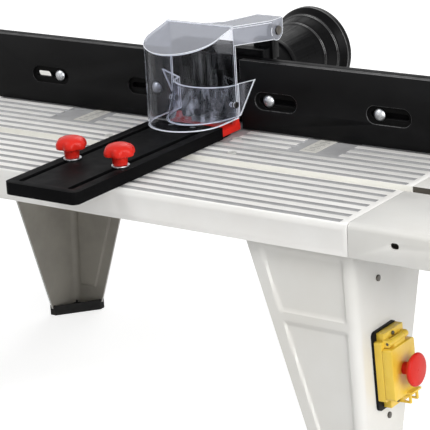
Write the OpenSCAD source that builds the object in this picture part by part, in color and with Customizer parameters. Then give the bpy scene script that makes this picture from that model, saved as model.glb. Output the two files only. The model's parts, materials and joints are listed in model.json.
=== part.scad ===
// Benchtop router table: ribbed casting with side wings, splayed sheet legs, split fence with a
// dust port, a lifting clear guard, a slotted hold-in bar and a flap-covered safety switch.
// Working coordinates: x from the middle plane, y back from the front edge, z up from the table top.

/* [Table] */
// Length of the ribbed casting
table_len = 610; // [580:5:660]
// Depth of the casting, front to back
table_depth = 360; // [355:1:390]
// Height of the table top above the floor
table_h = 304; // [290:2:340]
// Height of the apron around the casting and the wings
apron_h = 33; // [31:0.5:38]
// Wall of the casting's apron
apron_wall = 5; // [4:0.5:6]
// Thickness of the casting's plate, ribs included
plate_t = 8; // [7.5:0.25:9]
// Rounding of the casting's long top edges
edge_r = 2.5; // [1:0.5:3]

/* [Ribs and pads] */
// Distance between neighbouring grooves
rib_pitch = 16.2; // [15.5:0.1:17]
// Width of a groove
groove_w = 7.2; // [6:0.2:8]
// Depth of the grooves and of the flat pads
groove_d = 1.5; // [1:0.1:2]
// Middle of the first groove from the front edge
first_groove = 4.8; // [4.8:0.1:5.4]
// Plain margin at the ends of the grooves
groove_margin = 8; // [5:1:14]
// Middle of a side pad from the middle plane
pad_x = 156.5; // [150:0.5:165]
// Width of a side pad
pad_w = 61; // [56:1:66]
// Front edge of the pads from the table's front edge
pad_front = 180; // [176:1:184]
// Width of the middle pad
mid_pad_w = 108; // [100:1:116]
// Width of a scale strip
scale_w = 20; // [14:1:24]
// Thickness of a scale strip
scale_t = 0.6; // [0.3:0.1:0.9]

/* [Mitre slot] */
// Middle of the mitre slot from the front edge
slot_y = 115; // [112:0.5:116]
// Width of the mitre slot
slot_w = 16; // [14:0.5:17]
// Depth of the mitre slot
slot_d = 9.5; // [8:0.5:10]

/* [Router opening] */
// Cutter axis from the front edge
cutter_y = 193; // [190:0.5:196]
// Radius of the opening for the router's collar
opening_r = 32; // [26:1:36]
// Outside radius of the insert ring
ring_r = 40; // [38:0.5:44]
// Radius of the hole in the insert ring
ring_hole_r = 22; // [12:1:25]
// Thickness of the insert ring
ring_t = 4; // [3:0.25:5]
// Half the spacing of the outer router screws along the table
screw_dx = 80; // [78:0.5:90]
// Half the spacing of the outer router screws across the table
screw_dy = 46.5; // [44:0.5:50]
// Half the spacing of the middle pair of router screws
screw_mid_dx = 55; // [55:0.5:62]
// Radius of the router screws
screw_r = 2.5; // [2:0.1:2.8]
// Length of the router screws
screw_len = 24; // [18:1:30]

/* [Wings] */
// Length of a wing
wing_len = 199.5; // [150:0.5:260]
// Sheet of the wings
wing_t = 2; // [1.5:0.25:2.5]
// Rounding of the wings' long top edges
wing_r = 6; // [3:0.5:8]
// Gap between the casting and a wing
joint_gap = 0.5; // [0.3:0.1:1]
// Middle of the wing's oblong hole from the joint
oval_x = 49; // [30:1:80]
// Length of the oblong hole
oval_len = 9; // [8:0.5:12]
// Width of the oblong hole
oval_w = 6; // [5:0.5:7]

/* [Legs] */
// Sheet of the legs
leg_t = 2.5; // [2:0.25:3]
// Rounding of a leg's outer corner
leg_r = 9; // [6:0.5:11]
// Corner of a leg inside the casting's end, at the apron's lower edge
leg_in_x = 3; // [2:0.5:8]
// Corner of a leg behind the casting's front, at the apron's lower edge
leg_in_y = 12.4; // [10:0.2:16]
// How far a leg spreads along the table down to the floor
spread_x = 16; // [8:0.5:22]
// How far a leg spreads across the table down to the floor
spread_y = 7.5; // [4:0.5:14]
// Front face of a leg at the apron's lower edge
leg_wide_x = 119; // [100:1:125]
// Front face of a leg at the floor
leg_foot_x = 40.5; // [34:0.5:48]
// Side face of a leg at the apron's lower edge
leg_wide_y = 140; // [125:1:142]
// Side face of a leg at the floor
leg_foot_y = 46; // [40:1:56]
// Height of a rubber foot
foot_h = 12.5; // [11:0.5:18]
// Rubber under the end of a leg
foot_floor = 3; // [3:0.5:6]
// Rubber around the end of a leg
foot_lip = 2; // [1.5:0.25:3]

/* [Fence] */
// Front plane of the fence from the table's front edge
fence_y = 225.6; // [225:0.2:230]
// Half the length of the fence
fence_half = 320; // [300:5:345]
// Height of the fence
fence_h = 76; // [74:0.5:84]
// Thickness of a facing board
facing_t = 7.8; // [7:0.2:9]
// Thickness of the fence body
body_t = 9; // [7:0.5:11]
// Half the gap between the facings
gap_half = 40; // [39:0.5:42]
// Middle of the inner slot in a facing
slot_in_x = 84.2; // [83:0.2:86]
// Middle of the outer slot in a facing
slot_out_x = 221; // [219:0.5:223]
// Length of the facing slots' recess
recess_len = 52; // [50:0.5:54]
// Height of the facing slots' recess
recess_w = 19; // [18:0.5:20]
// Depth of the recess
recess_d = 3; // [2.5:0.25:3.5]
// Height of the slots above the table
slot_z = 33.5; // [32:0.5:36]
// Inner facing bolt from the middle plane
bolt_in_x = 74; // [73:0.25:75]
// Outer facing bolt from the middle plane
bolt_out_x = 209; // [208:0.5:211]
// Radius of the facing bolts
bolt_r = 3; // [2.5:0.1:3.2]
// Depth of the fence's foot behind the body
foot_depth = 46; // [44:1:54]
// Thickness of the fence's foot
fence_foot_t = 6; // [5:0.5:8]
// Clamp bolt from the middle plane
clamp_x = 172; // [168:0.5:174]
// Clamp bolt behind the fence body
clamp_back = 28; // [26:0.5:30]
// Radius of the clamp bolts
clamp_r = 4; // [3:0.25:4.5]
// Travel of the fence towards the back
fence_travel = 30; // [20:1:34]

/* [Dust box and port] */
// Half the width of the dust box
box_half = 60; // [58:0.5:60]
// Depth of the dust box
box_depth = 25; // [24:0.5:30]
// Height of the dust box
box_h = 84; // [82:0.5:86]
// Wall of the dust box and of the port
box_wall = 3; // [2.5:0.25:4]
// Height of the port's axis above the table
port_z = 36; // [35:0.5:39]
// Outside radius of the pipe behind the box
pipe_r = 30; // [28:0.5:31]
// Length of the pipe with its collar
pipe_len = 84; // [70:1:88]
// How far the collar stands out
collar_out = 3; // [1:0.25:3]
// Outside radius at the end of the cone
cone_r = 38; // [36:0.5:40]
// Length of the cone
cone_len = 50; // [44:1:56]
// Outside radius of the middle step
flare_r = 45; // [43.5:0.5:46]
// Outside radius of the rim
rim_r = 51; // [50:0.5:53]
// Length from the cone's end to the rim's back
flare_len = 36; // [32:1:44]

/* [Guard] */
// Outside radius of the guard's round front
hood_r = 43; // [40:0.5:45]
// Middle of the round front ahead of the fence plane
hood_ahead = 41.6; // [40:0.2:44]
// Length of the guard's straight sides
hood_side = 32; // [29:0.5:34]
// Sheet of the guard
hood_t = 2.4; // [2:0.1:3]
// Lower rim of the guard above the table
hood_low = 14.4; // [14.4:0.1:16]
// Height of the roof at its front edge
hood_front_z = 97.6; // [95:0.2:99]
// Slope of the roof in degrees
hood_slope = 13; // [12:0.1:13.5]
// Hinge axis behind the fence plane
hinge_back = 36.4; // [34:0.2:38]
// Hinge axis above the table
hinge_z = 102.6; // [101.6:0.2:103]
// Radius of the hinge screws
hinge_r = 2.5; // [2:0.1:3]
// Upper rim of the inner shield above the table
shield_top = 50; // [44:0.5:56]

/* [Hold-in bar] */
// Width of the bar
bar_w = 90; // [86:0.5:94]
// Thickness of the bar
bar_t = 12.7; // [11.5:0.1:12.7]
// Overhang of the bar in front of the table
bar_front = 68; // [50:1:90]
// Far end of the bar from the table's front edge
bar_back = 182; // [176:0.5:184]
// Rounding of the bar's front corners
bar_r = 7; // [3:0.5:8]
// Clamp slots and studs from the middle plane
stud_x = 30.5; // [28:0.5:33]
// Studs from the table's front edge
stud_y = 23.5; // [18:0.5:30]
// Radius of the studs
stud_r = 3; // [2.5:0.1:3.2]
// Length of the red shoe past the bar
shoe_len = 40.5; // [36:0.5:41]
// Height of the red shoe
shoe_h = 7; // [6.4:0.1:8]
// Width of the red shoe
shoe_w = 80; // [70:0.5:84]

/* [Knobs] */
// Diameter of the red knobs
knob_d = 32.5; // [28:0.5:34]
// Height of the red knobs
knob_h = 22; // [20:0.5:26]
// Diameter of the nuts behind the facings
nut_d = 22; // [18:0.5:23]

/* [Switch] */
// Middle of the switch from the table's front edge
switch_y = 54; // [52:0.5:58]
// Middle of the switch below the table top
switch_down = 158.5; // [156:0.5:168]
// Width of the switch plate
plate_w = 43; // [43:0.5:50]
// Height of the switch plate
plate_h = 80; // [80:0.5:90]
// Thickness of the switch plate
plate_thick = 3; // [2:0.25:4]
// Depth of the yellow case
case_d = 8; // [7:0.25:9]
// Depth of the flap lid
lid_d = 10; // [9.5:0.25:12]
// Wall of the flap lid
lid_wall = 2; // [1.5:0.1:2.2]
// Diameter of the mushroom head
mush_d = 33; // [28:0.5:36]
// Travel of the mushroom head
mush_travel = 4; // [3:0.25:4]
// Size of the square buttons under the lid
button = 12; // [10:0.5:12.5]

/* [Clearances] */
// Between pieces that slide on each other
slide_gap = 0.3; // [0.3:0.05:0.5]
// Around a screw in a plain hole, on the radius
hole_gap = 0.15; // [0.1:0.05:0.2]
// Around a turning pin, on the radius
turn_gap = 0.05; // [0.03:0.01:0.08]

/* [Hidden] */
$fn = 48;

// Colours
white = "#e4e2dc";
black = "#222222";
red = "#d8352a";
yellow = "#e8c346";
zinc = "#b9bcc0";
clear = [0.8, 0.82, 0.88, 0.4];

// Table
half_len = table_len / 2;
inner_half = half_len - apron_wall;
slot_lip = 1.2;
trough_wall = 4;
front_room = slot_y - slot_w / 2 - slot_lip - groove_w / 2 - first_groove;
front_grooves = floor(front_room / rib_pitch + 0.01) + 1;
rear_first = slot_y + slot_w / 2 + slot_lip + groove_w / 2;
rear_margin = 6;
rear_grooves = floor((table_depth - rear_margin - rear_first) / rib_pitch) + 1;
groove_ys = [
    for (i = [0 : front_grooves - 1]) first_groove + i * rib_pitch,
    for (i = [0 : rear_grooves - 1]) rear_first + i * rib_pitch
];
pad_back = table_depth - 14;
scale_x = pad_x - 8.5;
scale_front = pad_front + 4;
scale_back = pad_back - 6;
boss_r = 52;
boss_low = 14;
shank_r = screw_r + 0.5;
head_r = 1.9 * screw_r;
head_t = 2.5;
head_sink = 0.1;
screw_places = [
    for (sx = [-1, 1]) for (sy = [-1, 1]) [sx * screw_dx, cutter_y + sy * screw_dy],
    for (sx = [-1, 1]) [sx * screw_mid_dx, cutter_y]
];

// Fence planes
body_front = fence_y + facing_t + slide_gap;
body_back = body_front + body_t;
bridge_z = 60;
clamp_y = body_back + clamp_back;
box_front = body_back;
box_back = box_front + box_depth;
box_screw_zs = [12, box_h - 14];
cone_end = pipe_len + cone_len;
port_len = cone_end + flare_len;
port_back = box_back + port_len;
origin_y = (port_back - bar_front) / 2;

// Legs
seat_gap = 0.05;
leg_top = -apron_h - seat_gap;
leg_low = -table_h + foot_floor;
leg_share = function(z) (-apron_h - z) / (table_h - apron_h);
leg_x = function(z) half_len - leg_in_x + spread_x * leg_share(z);
leg_y = function(z) leg_in_y - spread_y * leg_share(z);
leg_w = function(z) leg_wide_x + (leg_foot_x - leg_wide_x) * leg_share(z);
leg_s = function(z) leg_wide_y + (leg_foot_y - leg_wide_y) * leg_share(z);
flange_t = 2.5;
leg_bolt_places = [[20, 20], [70, 18], [18, 80]];
leg_bolt_r = 3;
leg_boss_r = 8;
hex_r = 5.5;
hex_t = 4;

// Guard
hood_y = fence_y - hood_ahead;
hood_rear = hood_y + hood_side;
hood_top = hood_front_z + tan(hood_slope) * (hood_rear - hood_y + hood_r);
hinge_y = fence_y + hinge_back;
lug_r = 6;
lug_t = 6.4;
lug_base = 24;
lug_base_h = 9;
lug_out = box_half + 3.2;
ear_in = lug_out + 0.8;
ear_out = ear_in + hood_t;
ear_r = 10.9;
ear_front = hinge_y - 10;
ear_back = hinge_y + ear_r;
arm_w = 32;
arm_low = hinge_z - 8.6;
shield_low = hood_low + 0.9;
shield_back = fence_y - 1;
shield_r = hood_r - hood_t - 0.4;
shield_reach = 58.6;
shield_lean = 0.54;
rivet_y = hood_rear - 4;
rivet_z = 30;
rivet_r = 2;
rivet_head_r = 3.6;
rivet_head_t = 1.2;

// Bar
bar_z = slide_gap;
bar_top = bar_z + bar_t;
bar_slot_front = 9;
bar_slot_back = 4;
tail_len = 22;
tail_w = 50;
tail_t = 5.7;
washer_t = 1.5;
knob_z = bar_top + slide_gap + washer_t + slide_gap;
shoe_screw_x = 14;

// Switch, in the plane of the leg's side face
switch_z = -switch_down;
face_tilt = atan(spread_x / (table_h - apron_h));
case_w = plate_w - 3;
case_h = plate_h - 4;
case_top = 31;
case_low = -29;
case_front = plate_thick + case_d;
lid_back = case_front + 0.4;
lid_front = lid_back + lid_d;
lid_pin_w = 29;
lid_pin_u = case_front + 4;
knuckle_r = 3.5;
lid_pin_r = 1.5;
lid_top = lid_pin_w - knuckle_r - 1;
lid_low = -27;
ear_gap = 0.4;
knuckle_half = 10;
ear_len = 7;
block_w = 30;
block_h = 52;
block_back = 26;
button_top = case_front + 0.9;
stop_w = 0;
start_w = 15.8;
stem_r = 6;
mush_front = lid_front + 15.5;
collar_r = 8;
collar_t = 1.9;
box_screw_ws = [88, -51];
cover_t = 1.5;
cover_half = 18;
cover_deep = 36;
case_screw_ws = [34.4, -34];
hasp_v = 3;
small_r = 1.6;

// Moves the working coordinates to the middle of the footprint on the floor
module place() {
    translate([0, -origin_y, table_h]) children();
}

// Repeats a child on both sides of the middle plane
module both_sides() {
    for (s = [0, 1]) mirror([s, 0, 0]) children();
}

// Moves a front right piece to another corner of the table
module at_corner(left, rear) {
    translate([0, rear ? table_depth : 0, 0]) mirror([0, rear ? 1 : 0, 0])
        mirror([left ? 1 : 0, 0, 0]) children();
}

// Carries the switch's own axes: u out of the leg's face, v along y, w up the face
module on_switch_face() {
    translate([leg_x(switch_z), switch_y, switch_z]) rotate([0, -face_tilt, 0]) children();
}

// A flat outline with rounded corners, centred
module rounded_plate(w, h, r) {
    square([w - 2 * r, h], center = true);
    square([w, h - 2 * r], center = true);
    for (sx = [-1, 1]) for (sy = [-1, 1])
        translate([sx * (w / 2 - r), sy * (h / 2 - r)]) circle(r);
}

// An oblong outline with round ends, lying along the first axis
module oblong(len, w) {
    square([len - w, w], center = true);
    for (s = [-1, 1]) translate([s * (len - w) / 2, 0]) circle(w / 2);
}

// The section of the casting or a wing, seen along the table, with rounded top edges
module top_section(inset, r, low) {
    translate([inset, low]) square([table_depth - 2 * inset, -low - inset - r]);
    translate([inset + r, low]) square([table_depth - 2 * inset - 2 * r, -low - inset]);
    for (y = [inset + r, table_depth - inset - r]) translate([y, -inset - r]) circle(r);
}

// Draws a section in y and z and stretches it along x from x0 to x1
module along_x(x0, x1) {
    translate([x0, 0, 0]) rotate([90, 0, 90]) linear_extrude(x1 - x0) children();
}

// Draws a section in x and z and stretches it along y from y0 to y1
module along_y(y0, y1) {
    translate([0, y1, 0]) rotate([90, 0, 0]) linear_extrude(y1 - y0) children();
}

// A round bar along x, y or z
module rod_x(r, x0, x1) {
    translate([x0, 0, 0]) rotate([0, 90, 0]) cylinder(r = r, h = x1 - x0);
}
module rod_y(r, y0, y1) {
    translate([0, y1, 0]) rotate([90, 0, 0]) cylinder(r = r, h = y1 - y0);
}
module rod_z(r, z0, z1) {
    translate([0, 0, z0]) cylinder(r = r, h = z1 - z0);
}

// A lobed hand knob standing on z = 0, with a blind hole for its stud
module lobed_knob(d, h, hole_r, hole_depth) {
    neck_h = 0.3 * h;
    lobes = 5;
    difference() {
        union() {
            cylinder(r = 0.27 * d, h = neck_h + 1);
            translate([0, 0, neck_h]) cylinder(r = d / 2, h = 0.5 * h);
            translate([0, 0, neck_h + 0.5 * h]) cylinder(r1 = d / 2, r2 = 0.34 * d, h = 0.2 * h);
        }
        for (i = [0 : lobes - 1]) rotate([0, 0, i * 360 / lobes])
            translate([0.62 * d, 0, neck_h - 1]) cylinder(r = 0.22 * d, h = h);
        translate([0, 0, -1]) cylinder(r = hole_r, h = hole_depth + 1);
    }
}

// Holes for the wing bolts in the casting's ends
wing_bolt_ys = [24, slot_y - 30, table_depth / 2, table_depth - 40];
wing_bolt_z = -apron_h * 0.66;

// One half of the deck, from a front line to a back line, thicker along its rims
module deck(front, back, front_rim, back_rim) {
    difference() {
        along_x(-half_len, half_len) intersection() {
            top_section(0, edge_r, -slot_d);
            translate([front, -slot_d]) square([back - front, slot_d]);
        }
        translate([-inner_half, front + front_rim, -slot_d - 1])
            cube([2 * inner_half, back - front - front_rim - back_rim, slot_d - plate_t + 1]);
        // Grooves between the ribs
        for (y = groove_ys) if (y > front && y < back)
            translate([-half_len + groove_margin, y - groove_w / 2, -groove_d])
                cube([table_len - 2 * groove_margin, groove_w, 10]);
    }
}

// The casting's deck in front of the mitre slot
module deck_front() {
    place() color(white) difference() {
        deck(0, slot_y - slot_w / 2, apron_wall, trough_wall);
        both_sides() translate([stud_x, stud_y, 0]) rod_z(stud_r + hole_gap, -plate_t - 1, 1);
    }
}

// The casting's deck behind the mitre slot, with the router opening
module deck_rear() {
    place() color(white) difference() {
        union() {
            deck(slot_y + slot_w / 2, table_depth, trough_wall, apron_wall);
            translate([0, cutter_y, 0]) rod_z(boss_r, -boss_low, -plate_t + 1);
        }
        // Flat pads for the scales, the clamps and the opening
        both_sides() translate([pad_x - pad_w / 2, pad_front, -groove_d])
            cube([pad_w, pad_back - pad_front, 10]);
        translate([-mid_pad_w / 2, pad_front, -groove_d])
            cube([mid_pad_w, pad_back - pad_front, 10]);
        translate([0, cutter_y, 0]) {
            rod_z(opening_r, -boss_low - 1, 1);
            rod_z(ring_r, -ring_t - slide_gap, 1);
        }
        for (p = screw_places) translate([p[0], p[1], 0]) {
            rod_z(shank_r + hole_gap, -boss_low - 1, 1);
            rod_z(head_r + hole_gap, -head_t - head_sink, 1);
        }
        // Slots for the fence clamps
        both_sides() translate([clamp_x, clamp_y + fence_travel / 2, -boss_low])
            rotate([0, 0, 90]) linear_extrude(boss_low + 1)
                oblong(fence_travel + 2 * clamp_r + 6, 2 * clamp_r + 2 * slide_gap);
    }
}

// The casting's floor under the mitre slot
module slot_floor() {
    place() color(white) translate([-inner_half, slot_y - slot_w / 2 - trough_wall, -slot_d - trough_wall])
        cube([2 * inner_half, slot_w + 2 * trough_wall, trough_wall]);
}

// The casting's apron below the deck
module apron() {
    place() color(white) difference() {
        translate([-half_len, 0, -apron_h]) cube([table_len, table_depth, apron_h - slot_d]);
        translate([-inner_half, apron_wall, -apron_h - 1])
            cube([2 * inner_half, table_depth - 2 * apron_wall, apron_h + 2]);
        both_sides() for (y = wing_bolt_ys) translate([0, y, wing_bolt_z])
            rod_x(leg_bolt_r + hole_gap, inner_half - 1, half_len + 1);
    }
}

// The casting's bosses that the legs are bolted to
module leg_bosses() {
    place() color(white) for (left = [false, true]) for (rear = [false, true]) at_corner(left, rear)
        leg_bolt_spots() difference() {
            rod_z(leg_boss_r, -apron_h, -plate_t);
            rod_z(leg_bolt_r + hole_gap, -apron_h - 1, leg_top + 6);
        }
}

module insert_ring() {
    place() color(black) translate([0, cutter_y, -ring_t - slide_gap]) difference() {
        cylinder(r = ring_r - hole_gap, h = ring_t);
        translate([0, 0, -1]) cylinder(r = ring_hole_r, h = ring_t + 2);
    }
}

module router_screws() {
    place() color(zinc) for (p = screw_places) translate([p[0], p[1], -head_sink]) {
        rod_z(head_r, -head_t, 0);
        rod_z(shank_r, -plate_t - 0.3, -head_t + 0.1);
        rod_z(screw_r, -screw_len, -plate_t - 0.2);
    }
}

module scale_strip() {
    color(white) translate([scale_x - scale_w / 2, scale_front, -groove_d])
        cube([scale_w, scale_back - scale_front, scale_t]);
}
module scale_left() {
    place() mirror([1, 0, 0]) scale_strip();
}
module scale_right() {
    place() scale_strip();
}

// The folded sheet wing on the right of the casting, in two halves
module wing() {
    x0 = half_len + joint_gap;
    x1 = x0 + wing_len;
    color(white) difference() {
        union() {
            along_x(x0, x1) difference() {
                top_section(0, wing_r, -apron_h);
                top_section(wing_t, wing_r - wing_t, -apron_h - 1);
            }
            for (x = [x0, x1 - wing_t]) along_x(x, x + wing_t) top_section(0, wing_r, -apron_h);
            translate([x0, slot_y - slot_w / 2 - wing_t, -slot_d - wing_t])
                cube([wing_len, slot_w + 2 * wing_t, slot_d + wing_t - wing_t / 2]);
        }
        // The slot parts the wing into a front and a rear half, each with its own flange and bolts
        translate([x0 - 1, slot_y - slot_w / 2, -apron_h - 1]) cube([wing_len + 2, slot_w, apron_h + 10]);
        translate([x0 + oval_x, 0, -apron_h * 0.45]) along_y(-1, table_depth + 1)
            oblong(oval_len, oval_w);
        for (y = wing_bolt_ys) translate([0, y, wing_bolt_z])
            rod_x(leg_bolt_r + hole_gap, x0 - 1, x0 + wing_t + 1);
    }
}
module wing_left() {
    place() mirror([1, 0, 0]) wing();
}
module wing_right() {
    place() wing();
}

module wing_bolts() {
    seat = half_len + joint_gap + wing_t;
    place() color(zinc) both_sides() for (y = wing_bolt_ys) translate([0, y, wing_bolt_z]) {
        rod_x(leg_bolt_r, half_len - apron_wall + 0.3, seat + 0.1);
        translate([seat, 0, 0]) rotate([0, 90, 0]) cylinder(r = hex_r, h = hex_t, $fn = 6);
    }
}

// The outline of a leg at one height, grown outwards and reaching past its open sides
module leg_slice(z, grow, past) {
    w = leg_w(z) + past;
    s = leg_s(z) + past;
    r = leg_r + grow;
    translate([leg_x(z) + grow, leg_y(z) - grow, z]) linear_extrude(0.01) {
        translate([-w - grow, 0]) square([w + grow - r, s + grow]);
        translate([-w - grow, r]) square([w + grow, s + grow - r]);
        translate([-r, r]) circle(r, $fn = 32);
    }
}

// The folded sheet of a leg between two heights, grown by a clearance
module leg_sheet(low, high, grow) {
    difference() {
        hull() {
            leg_slice(low, grow, 0);
            leg_slice(high, grow, 0);
        }
        hull() {
            leg_slice(low - 1, -leg_t - grow, 20);
            leg_slice(high + 1, -leg_t - grow, 20);
        }
    }
}

// Places a child at each of a leg's bolts, measured in from the leg's corner
module leg_bolt_spots() {
    for (p = leg_bolt_places) translate([leg_x(leg_top) - p[0], leg_y(leg_top) + p[1], 0]) children();
}

// A leg at the front right corner
module leg() {
    corner = [leg_x(leg_top) - leg_t / 2, leg_y(leg_top) + leg_t / 2];
    difference() {
        union() {
            leg_sheet(leg_low, leg_top, 0);
            translate([0, 0, leg_top - flange_t]) linear_extrude(flange_t) polygon([
                corner + [-leg_r, 0], corner + [0, leg_r],
                corner + [0, leg_s(leg_top) - 4], corner + [-10, leg_s(leg_top) - 4],
                corner + [4 - leg_w(leg_top), 10], corner + [4 - leg_w(leg_top), 0]
            ]);
        }
        leg_bolt_spots() rod_z(leg_bolt_r + hole_gap, leg_top - flange_t - 1, leg_top + 1);
    }
}
module leg_front_left() {
    place() color(white) at_corner(true, false) leg();
}
module leg_rear_left() {
    place() color(white) at_corner(true, true) leg();
}
module leg_rear_right() {
    place() color(white) at_corner(false, true) leg();
}
module leg_front_right() {
    place() color(white) difference() {
        leg();
        on_switch_face() {
            translate([-12, -block_w / 2 - 0.5, -block_h / 2 - 0.5])
                cube([24, block_w + 1, block_h + 1]);
            for (w = concat(box_screw_ws, case_screw_ws)) translate([0, 0, w])
                rod_x(small_r + hole_gap, -8, 8);
        }
    }
}

module leg_bolts() {
    place() color(zinc) for (left = [false, true]) for (rear = [false, true])
        at_corner(left, rear) leg_bolt_spots() {
            rod_z(leg_bolt_r, leg_top - flange_t - 0.1, leg_top + 5);
            translate([0, 0, leg_top - flange_t - hex_t]) cylinder(r = hex_r, h = hex_t, $fn = 6);
        }
}

// A rubber foot with the leg's end let into it
module rubber_foot() {
    z = leg_low;
    x = leg_x(z) + foot_lip;
    y = leg_y(z) - foot_lip;
    w = leg_w(z) + 2 * foot_lip;
    s = leg_s(z) + 2 * foot_lip;
    nose = 8;
    wall = foot_lip + leg_t + 0.2;
    lip = 2.5;
    color(black) difference() {
        translate([0, 0, -table_h]) linear_extrude(foot_h) polygon([
            [x - 3, y], [x, y + 3], [x, y + s], [x - nose, y + s], [x - w, y + nose], [x - w, y]
        ]);
        leg_sheet(leg_low, leg_low + foot_h, 0.2);
        // The hollow between the leg's two sides and the straight wall across them
        translate([0, 0, leg_low]) linear_extrude(foot_h) polygon([
            [x - wall - 4, y + wall], [x - wall, y + wall + 4], [x - wall, y + s - lip],
            [x - nose, y + s - lip], [x - w + lip, y + nose - lip / 2], [x - w + lip, y + wall]
        ]);
    }
}
module foot_front_left() {
    place() at_corner(true, false) rubber_foot();
}
module foot_front_right() {
    place() at_corner(false, false) rubber_foot();
}
module foot_rear_left() {
    place() at_corner(true, true) rubber_foot();
}
module foot_rear_right() {
    place() at_corner(false, true) rubber_foot();
}

// Places a child on each facing bolt's axis on the right side
module facing_bolt_spots() {
    for (x = [bolt_in_x, bolt_out_x]) translate([x, 0, slot_z]) children();
}

module fence_body() {
    gusset = 34;
    place() color(black) difference() {
        union() {
            translate([-fence_half, body_front, slide_gap])
                cube([2 * fence_half, body_t, fence_h - slide_gap]);
            both_sides() {
                translate([box_half + 6, body_back - 1, slide_gap])
                    cube([fence_half - box_half - 6, foot_depth + 1, fence_foot_t]);
                for (x = [118, fence_half - 6]) along_x(x, x + 5) polygon([
                    [body_back - 1, slide_gap], [body_back + gusset, slide_gap],
                    [body_back + gusset, slide_gap + fence_foot_t + 2],
                    [body_back - 1, slide_gap + fence_h - 14]
                ]);
            }
        }
        translate([-gap_half, body_front - 1, -1]) cube([2 * gap_half, body_t + 2, bridge_z + 1]);
        // The window that shows through the left facing's outer slot
        translate([-slot_out_x - 20, 0, slot_z - 3]) along_y(body_front - 1, body_back + 1) oblong(28, 10);
        both_sides() {
            facing_bolt_spots() rod_y(bolt_r + hole_gap, body_front - 1, body_back + 1);
            translate([clamp_x, clamp_y, 0]) rod_z(clamp_r + hole_gap, -1, fence_foot_t + 2);
            for (z = box_screw_zs) translate([(gap_half + box_half) / 2, 0, z])
                rod_y(small_r + hole_gap, body_front + 2, body_back + 1);
        }
    }
}

// The right facing board
module facing() {
    color(black) difference() {
        translate([gap_half, fence_y, slide_gap])
            cube([fence_half - gap_half, facing_t, fence_h - slide_gap]);
        for (x = [slot_in_x, slot_out_x]) translate([x, 0, slot_z]) {
            along_y(fence_y - 1, fence_y + recess_d) oblong(recess_len, recess_w);
            along_y(fence_y - 1, fence_y + facing_t + 1)
                oblong(recess_len - 7, 2 * bolt_r + 2 * slide_gap);
        }
    }
}
module facing_left() {
    place() mirror([1, 0, 0]) facing();
}
module facing_right() {
    place() facing();
}

// Domed bolts that hold the facings to the fence body
module facing_bolts() {
    seat = fence_y + recess_d - slide_gap;
    dome_r = 6.8;
    dome_t = 4;
    nut_reach = body_back + 11;
    place() color(zinc) both_sides() facing_bolt_spots() {
        rod_y(bolt_r, seat - 1, nut_reach);
        translate([0, seat, 0]) rotate([90, 0, 0]) rotate_extrude() intersection() {
            translate([0, dome_t - (dome_t * dome_t + dome_r * dome_r) / (2 * dome_t)])
                circle((dome_t * dome_t + dome_r * dome_r) / (2 * dome_t));
            square([dome_r, dome_t]);
        }
    }
}

// A knurled hand nut behind a facing bolt; side is -1 or 1
module facing_nut(side, x) {
    wings = 6;
    place() color(black) translate([side * x, body_back + slide_gap, slot_z]) rotate([-90, 0, 0])
        difference() {
            union() {
                cylinder(r = 0.32 * nut_d, h = 14);
                translate([0, 0, 3]) cylinder(r = nut_d / 2, h = 9);
            }
            for (i = [0 : wings - 1]) rotate([0, 0, i * 360 / wings])
                translate([0.56 * nut_d, 0, 2]) cylinder(r = 0.13 * nut_d, h = 11);
            translate([0, 0, -1]) cylinder(r = bolt_r + turn_gap, h = 12.5);
        }
}
module facing_nut_1() {
    facing_nut(-1, bolt_out_x);
}
module facing_nut_2() {
    facing_nut(-1, bolt_in_x);
}
module facing_nut_3() {
    facing_nut(1, bolt_in_x);
}
module facing_nut_4() {
    facing_nut(1, bolt_out_x);
}

clamp_knob_z = slide_gap + fence_foot_t + slide_gap;
module clamp_bolts() {
    place() color(zinc) both_sides() translate([clamp_x, clamp_y, 0]) {
        rod_z(clamp_r, -plate_t - slide_gap - 1, clamp_knob_z + 15);
        rod_z(2.4 * clamp_r, -plate_t - slide_gap - hex_t, -plate_t - slide_gap);
    }
}
module clamp_knob(side) {
    place() color(red) translate([side * clamp_x, clamp_y, clamp_knob_z])
        lobed_knob(knob_d + 4, knob_h, clamp_r + turn_gap, 15.6);
}
module clamp_knob_left() {
    clamp_knob(-1);
}
module clamp_knob_right() {
    clamp_knob(1);
}

// The box behind the fence gap, with a lug for the guard's hinge
module dust_box() {
    inside = 2 * box_half - 2 * box_wall;
    place() color(black) difference() {
        union() {
            difference() {
                translate([-box_half, box_front, slide_gap])
                    cube([2 * box_half, box_depth, box_h - slide_gap]);
                translate([-inside / 2, box_front + box_wall, slide_gap + box_wall])
                    cube([inside, box_depth - 2 * box_wall, box_h - slide_gap - 2 * box_wall]);
                translate([-gap_half, box_front - 1, slide_gap - 1])
                    cube([2 * gap_half, box_wall + 2, bridge_z - slide_gap + 1]);
                translate([0, 0, port_z]) rod_y(pipe_r - box_wall, box_back - box_wall - 1, box_back + 1);
            }
            along_x(lug_out - lug_t, lug_out) {
                translate([hinge_y, hinge_z]) circle(lug_r);
                translate([hinge_y - lug_r, box_h - 12]) square([2 * lug_r, hinge_z - box_h + 12]);
            }
            along_x(lug_out - lug_base, lug_out)
                translate([hinge_y - lug_r, box_h - 1]) square([2 * lug_r, lug_base_h + 1]);
        }
        translate([0, hinge_y, hinge_z]) rod_x(hinge_r + turn_gap, lug_out - 7, lug_out + 1);
        both_sides() for (z = box_screw_zs) translate([(gap_half + box_half) / 2, 0, z])
            rod_y(small_r + hole_gap, box_front - 1, box_front + box_wall + 1);
    }
}

module box_screws() {
    place() color(zinc) both_sides() for (z = box_screw_zs)
        translate([(gap_half + box_half) / 2, 0, z]) {
            rod_y(small_r, body_front + 3, box_front + box_wall + 0.1);
            rod_y(2 * small_r, box_front + box_wall, box_front + box_wall + 2);
        }
}

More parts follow.
